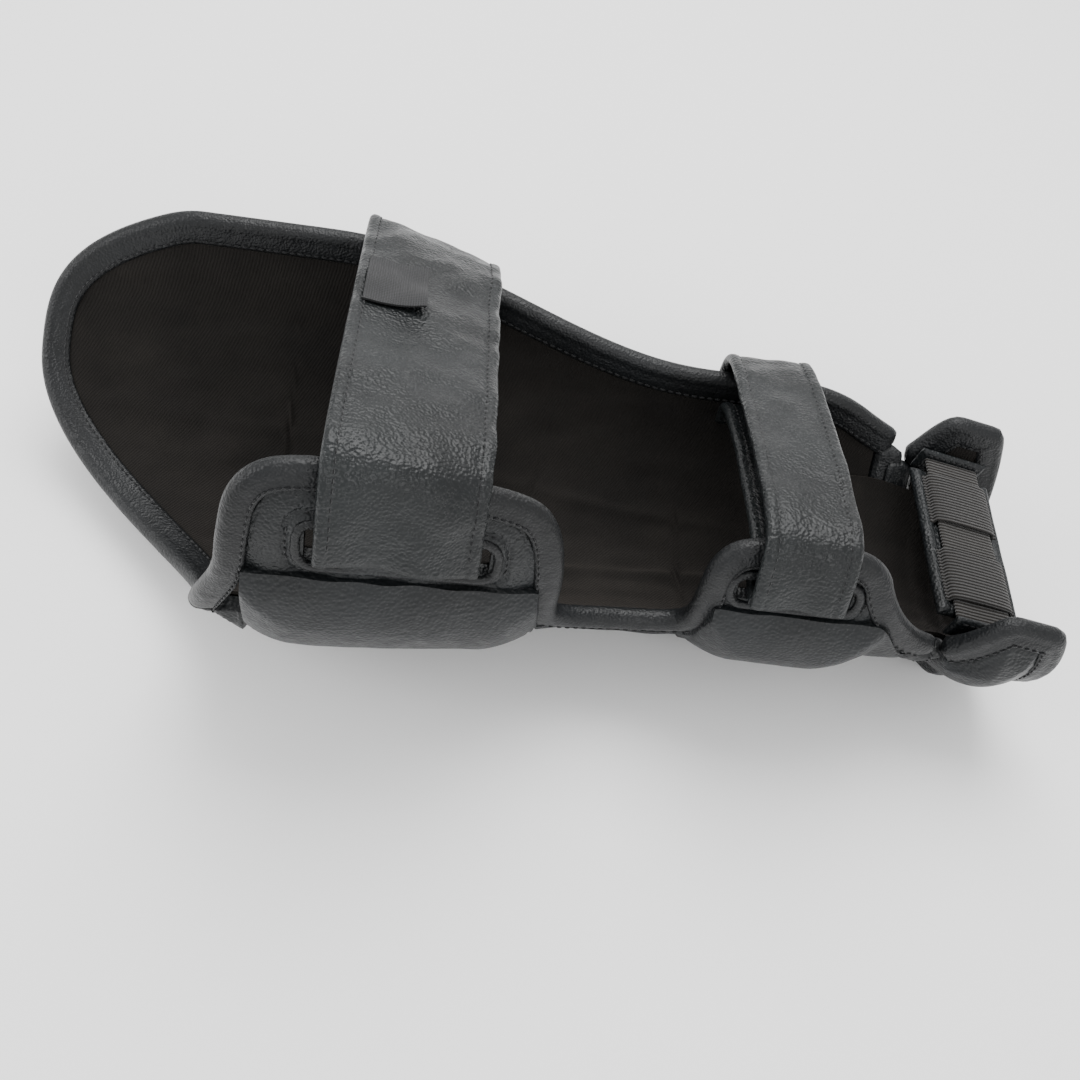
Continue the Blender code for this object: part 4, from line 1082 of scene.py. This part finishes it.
def make_foot():
    """The instep part: lining gathered into the binding, foam and cover, raised instep pad."""

    def foam(u, v):
        return mix(FOAM_EDGE, FOAM * 0.8, bulge(foot_distance(u, v), FOAM_RAMP * 0.8))

    def lining(u, v, w):
        x, degrees = foot_place(u, v, SETBACK)
        edge = foot_distance(u, v)
        near_toe = math.exp(-(1 - v) * FOOT_LENGTH / 0.014) + math.exp(-v * FOOT_LENGTH / 0.012)
        pleats = math.sin(math.radians(degrees) * 26 + 3 * noise.noise(Vector((u * 9, v * 2, 0))))
        rise = 0.0008 * pleats * near_toe * smooth(edge / 0.004)
        rise += 0.0007 * noise.noise(Vector((u * 12, v * 4, 3))) * smooth(edge / 0.010)
        return on_foot(x, degrees, rise + mix(0.0001, LINING, w))

    piece = sewn_block("instep_lining_cloth", 110, 44, lining, LINING_CLOTH)
    dress(piece, "instep_guard", "brushed_lining", "foot_lining")

    def padding(u, v, w):
        x, degrees = foot_place(u, v, SETBACK)
        if w < 0.5:
            return on_foot(x, degrees, FOAM_FACE + 0.0003)
        edge = foot_distance(u, v)
        dent = 0.0005 * noise.noise(Vector((u * 9, v * 3, 1)))
        pucker = 0.0003 * math.sin(u * 160) * math.exp(-edge / 0.005)
        return on_foot(x, degrees, FOAM_FACE + foam(u, v) + GAP + SKIN + dent * bulge(edge, 0.01)
                       + pucker)

    piece = sewn_block("instep_padding", 110, 44, padding, PADDED_LEATHER)
    dress(piece, "instep_guard", "synthetic_leather", "foot_cover", "foot_foam_core")

    def pad(u, v, w):
        uu, vv = mix(0.30, 0.70, u), mix(0.20, 0.80, v)
        x, degrees = foot_place(uu, vv, SETBACK)
        base = FOAM_FACE + foam(uu, vv) + GAP + SKIN
        if w < 0.5:
            return on_foot(x, degrees, base - 0.0006)
        edge = min(u * 0.4 / 0.07, (1 - u) * 0.4 / 0.07, v * 0.6 / 0.12, (1 - v) * 0.6 / 0.12)
        rise = mix(0.0002, INSTEP_PAD + 2 * GAP, smooth((edge - 0.10) / 0.9))
        return on_foot(x, degrees, base + rise)

    piece = sewn_block("instep_raised_pad", 60, 36, pad, LEATHER)
    dress(piece, "instep_guard", "synthetic_leather", "instep_pad")


def foot_rim(u, v):
    x, degrees = foot_place(u, v, 0)
    return on_foot(x, degrees, EDGE_MIDDLE)


def foot_edges():
    steps = [k / 14 for k in range(15)]
    near = [foot_rim(0, v) for v in steps]
    toe = [foot_rim(k / 24, 1) for k in range(1, 24)]
    far = [foot_rim(1, v) for v in reversed(steps)]
    rim = Edge(near + toe + far, foot_outward, flip=1)
    inset = ROLL / 2 / (math.radians(2 * FOOT_DIP) * FOOT_RADIUS)
    ankle = Edge([foot_rim(mix(inset, 1 - inset, k / 20), 0) for k in range(21)], foot_outward,
                 flip=1)
    return rim, ankle


def make_gusset():
    """The soft strip sewn inside both parts: it folds a little at the bending line."""

    def place(u, v, w):
        angle = mix(-GUSSET_ANGLE, GUSSET_ANGLE, u)
        shin_side = on_shin(SHIN_LENGTH - mix(GUSSET_REACH, 0.0, min(v * 2, 1)), angle, -0.0024)
        start = foot_start(angle * FOOT_DIP / ANKLE_CORNER)
        foot_side_point = on_foot(start + mix(0.0, GUSSET_REACH, max(v * 2 - 1, 0)), angle, -0.0020)
        t = smooth((v - 0.38) / 0.24)
        point = shin_side.lerp(foot_side_point, t)
        inward = -shin_outward(point)
        fold = 0.0006 * math.sin(v * 14) + 0.0008 * noise.noise(Vector((u * 9, v * 3, 7)))
        return point + inward * (mix(GUSSET, 0.0, w) + fold * bulge(min(v, 1 - v), 0.2))

    piece = sewn_block("ankle_gusset_strip", 70, 36, place, LINING_CLOTH)
    on_shin(SHIN_LENGTH - 0.002, 0, 0)
    on_foot(0.008, 0, 0)
    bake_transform(piece)
    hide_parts("ankle_gusset")


# ---------------------------------------------------------------- stirrup
def in_stirrup(x, y, z):
    return FOOT @ Vector((x, y, z + STIRRUP_HEIGHT + HINGE_DEPTH))


def make_stirrup():
    low_end = 1 - (STIRRUP_HEIGHT - ANCHOR_BELOW) / FOOT_RADIUS
    inner = math.sin(math.acos(low_end)) * FOOT_RADIUS
    end = inner - ANCHOR - 0.0012
    half = ELASTIC_WIDTH / 2

    def band(u, v, w):
        y = mix(-end, end, v)
        slack = 0.0004 * noise.noise(Vector((u, v * 6, 2)))
        edge = min(u, 1 - u) * ELASTIC_WIDTH
        thick = ELASTIC * mix(0.55, 1.0, bulge(edge, 0.0015))
        rise = mix(ELASTIC / 2 - thick / 2, ELASTIC / 2 + thick / 2, w)
        return in_stirrup(STIRRUP_X + (2 * u - 1) * half, y, rise + slack)

    piece = sewn_block("stirrup_band", 30, 160, band, BAND)
    dress(piece, "instep_guard", "elastic_webbing", "stirrup_elastic")

    for name, side in (("far", 1), ("near", -1)):
        def tab(u, v, w, side=side):
            across, up = 2 * u - 1, mix(-ANCHOR_BELOW, ANCHOR_ABOVE, v)
            edge = min((1 - abs(across)) * (half + 0.003), min(v, 1 - v) * 0.011)
            thick = ANCHOR * mix(0.3, 1.0, bulge(edge, 0.0016))
            y = side * (end + ANCHOR / 2 + (w - 0.5) * thick)
            return in_stirrup(STIRRUP_X + across * (half + 0.003), y, up)

        piece = sewn_block(f"stirrup_tab_{name}", 34, 16, tab, LEATHER)
        dress(piece, "instep_guard", "synthetic_leather", f"stirrup_anchor_{name}")
        rows = []
        for up in (-0.0042, 0.0032):
            for k in range(9):
                x = STIRRUP_X + mix(-half, half, (k + 0.5) / 9)
                for face in (-1, 1):
                    y = side * (end + ANCHOR / 2) + face * ANCHOR * 0.48
                    rows.append((in_stirrup(x, y, up), FOOT.to_3x3() @ Vector((0, face, 0)),
                                 FOOT.to_3x3() @ Vector((1, 0, 0))))
        stitch_row(f"stirrup_tab_{name}_stitches", rows, "instep_guard")

    long, wide = SOLE_PAD_LENGTH / 2, SOLE_PAD_WIDTH / 2

    def sole(u, v, w):
        """Leathercloth over thin foam, with the hem of both long edges turned and sewn."""
        across = (2 * u - 1) * wide
        y = mix(-long, long, v)
        side = wide - abs(across)
        edge = min(side, long - abs(y))
        thick = SOLE_PAD * mix(0.35, 1.0, bulge(edge, 0.0022))
        hem = 0.0007 * smooth((0.0056 - side) / 0.0010) * smooth(edge / 0.002)
        groove = 0.0005 * math.exp(-((side - 0.0052) / 0.0008) ** 2)
        middle = -SLIDE_PLAY - SOLE_PAD / 2
        dent = 0.0003 * noise.noise(Vector((across, y, 5)) / 0.012)
        return in_stirrup(STIRRUP_X + across, y,
                          middle + (w - 0.5) * (thick + 2 * hem - 2 * groove) + dent)

    piece = sewn_block("sole_strip", 60, 110, sole, LEATHER)
    dress(piece, "sole_pad_unit", "synthetic_leather", "sole_pad", "sole_pad_front_binding",
          "sole_pad_rear_binding")
    rows = []
    count = round(2 * long / STITCH_PITCH)
    for side in (-1, 1):
        for k in range(1, count - 1):
            y = mix(-long, long, (k + 0.5) / count)
            for face, rise in ((1, -SLIDE_PLAY - 0.0003), (-1, -SLIDE_PLAY - SOLE_PAD + 0.0003)):
                rows.append((in_stirrup(STIRRUP_X + side * (wide - 0.0050), y, rise),
                             FOOT.to_3x3() @ Vector((0, 0, face)),
                             FOOT.to_3x3() @ Vector((0, 1, 0))))
    stitch_row("sole_strip_stitches", rows, "sole_pad_unit")

    leg = half + SLIDE_PLAY + KEEPER / 2
    roof = ELASTIC + SLIDE_PLAY + KEEPER / 2
    corners = [Vector((-leg - 0.002, -SLIDE_PLAY + 0.0007)), Vector((-leg, 0.0)),
               Vector((-leg, roof)), Vector((0, roof + 0.0004)), Vector((leg, roof)),
               Vector((leg, 0.0)), Vector((leg + 0.002, -SLIDE_PLAY + 0.0007))]
    line, keeper_length = even_line(cut_corners(corners, 3), 60)
    for name, side in (("far", 1), ("near", -1)):
        def loop_band(u, v, w, side=side):
            k = min(int(v * 60), 59)
            point = line[k].lerp(line[k + 1], v * 60 - k)
            way = (line[k + 1] - line[k]).normalized()
            edge = min(u, 1 - u) * KEEPER_WIDTH
            thick = KEEPER * mix(0.5, 1.0, bulge(edge, 0.0012))
            y = side * KEEPER_OFFSET + (u - 0.5) * KEEPER_WIDTH
            spot = point + Vector((-way.y, way.x)) * ((w - 0.5) * thick)
            return in_stirrup(STIRRUP_X + spot.x, y, spot.y)

        piece = sewn_block(f"keeper_{name}", 40, 60, loop_band, KEEPER_BAND)
        dress(piece, "sole_pad_unit", "elastic_webbing", f"sole_keeper_{name}")


# ---------------------------------------------------------------- studio
def make_studio():
    deselect()
    bpy.ops.mesh.primitive_plane_add(size=12, location=(0, 0, -0.0005))
    floor = bpy.context.object
    floor.name = "studio_floor"
    pale, shader = new_finish("pale_paper", 0.85)
    shader.inputs["Base Color"].default_value = linear("#fafafa")
    floor.data.materials.append(pale)
    world = bpy.data.worlds.new("studio_air")
    world.use_nodes = True
    world.node_tree.nodes["Background"].inputs["Color"].default_value = linear("#ffffff")
    world.node_tree.nodes["Background"].inputs["Strength"].default_value = 1.05
    bpy.context.scene.world = world
    lamps = (("overhead", (0.10, 0.55, 1.25), 1.1, 24.0), ("left", (-1.3, -0.25, 0.75), 0.7, 10.0),
             ("front", (0.5, -1.4, 1.1), 0.8, 10.0))
    for name, place, size, watts in lamps:
        light = bpy.data.lights.new(f"softbox_{name}", "AREA")
        light.shape = "SQUARE"
        light.size = size
        light.energy = watts
        lamp = bpy.data.objects.new(f"softbox_{name}", light)
        lamp.location = place
        lamp.rotation_euler = (-Vector(place)).to_track_quat("-Z", "Y").to_euler()
        bpy.context.scene.collection.objects.link(lamp)


def make_camera():
    """Over the inner side, knee end to the left, turned with the guard's slope."""
    right = Vector((0.9900, 0.0393, 0.1354))
    up = Vector((-0.1170, 0.7653, 0.6329))
    turn = Matrix((right, up, right.cross(up))).transposed().to_4x4()
    data = bpy.data.cameras.new("studio_camera")
    data.sensor_width = 36
    data.lens = 47.03
    data.shift_x, data.shift_y = 0.0244, -0.0079
    camera = bpy.data.objects.new("studio_camera", data)
    camera.matrix_world = SHIN @ Matrix.Translation((0.1575, -0.3807, 0.4590)) @ turn
    bpy.context.scene.collection.objects.link(camera)
    bpy.context.scene.camera = camera


make_camera()
make_studio()
make_shin_lining()
make_shin_padding()
make_front_bar()
make_wing("upper", UPPER_WING, UPPER_WING_TOP, UPPER_WING_CORNER, 0, UPPER_STRAP_X,
          UPPER_STRAP_WIDTH)
make_wing("lower", LOWER_WING, LOWER_WING_TOP, LOWER_WING_CORNER, LOWER_WING_SLANT, LOWER_STRAP_X,
          LOWER_STRAP_WIDTH)
RIM_EDGE, NEAR_EDGE, ANKLE_EDGE = shin_edges()
FACE = EDGE_MIDDLE
make_binding("knee_and_outer_roll", RIM_EDGE, "shin_guard", FACE, -FACE, "knee_rim_binding")
make_binding("inner_roll", NEAR_EDGE, "shin_guard", FACE - 0.0008, -FACE, "near_rim_binding")
make_binding("ankle_roll", ANKLE_EDGE, "shin_guard", FACE, -FACE, "ankle_edge_binding",
             stitch_sides=(1,))
UPPER_TAIL = make_straps("upper", UPPER_STRAP_X, UPPER_STRAP_WIDTH, UPPER_WING_TOP, UPPER_REACH,
                         1.0, 0.0)
make_straps("lower", LOWER_STRAP_X, LOWER_STRAP_WIDTH, LOWER_WING_TOP, LOWER_REACH, 0.8, 5.0)
make_label(UPPER_TAIL)
make_foot()
FOOT_RIM, FOOT_ANKLE = foot_edges()
make_binding("instep_roll", FOOT_RIM, "instep_guard", FACE, -FACE, "foot_rim_binding")
make_binding("instep_ankle_roll", FOOT_ANKLE, "instep_guard", FACE, -FACE, "foot_ankle_binding",
             stitch_sides=(1,))
make_gusset()
make_stirrup()
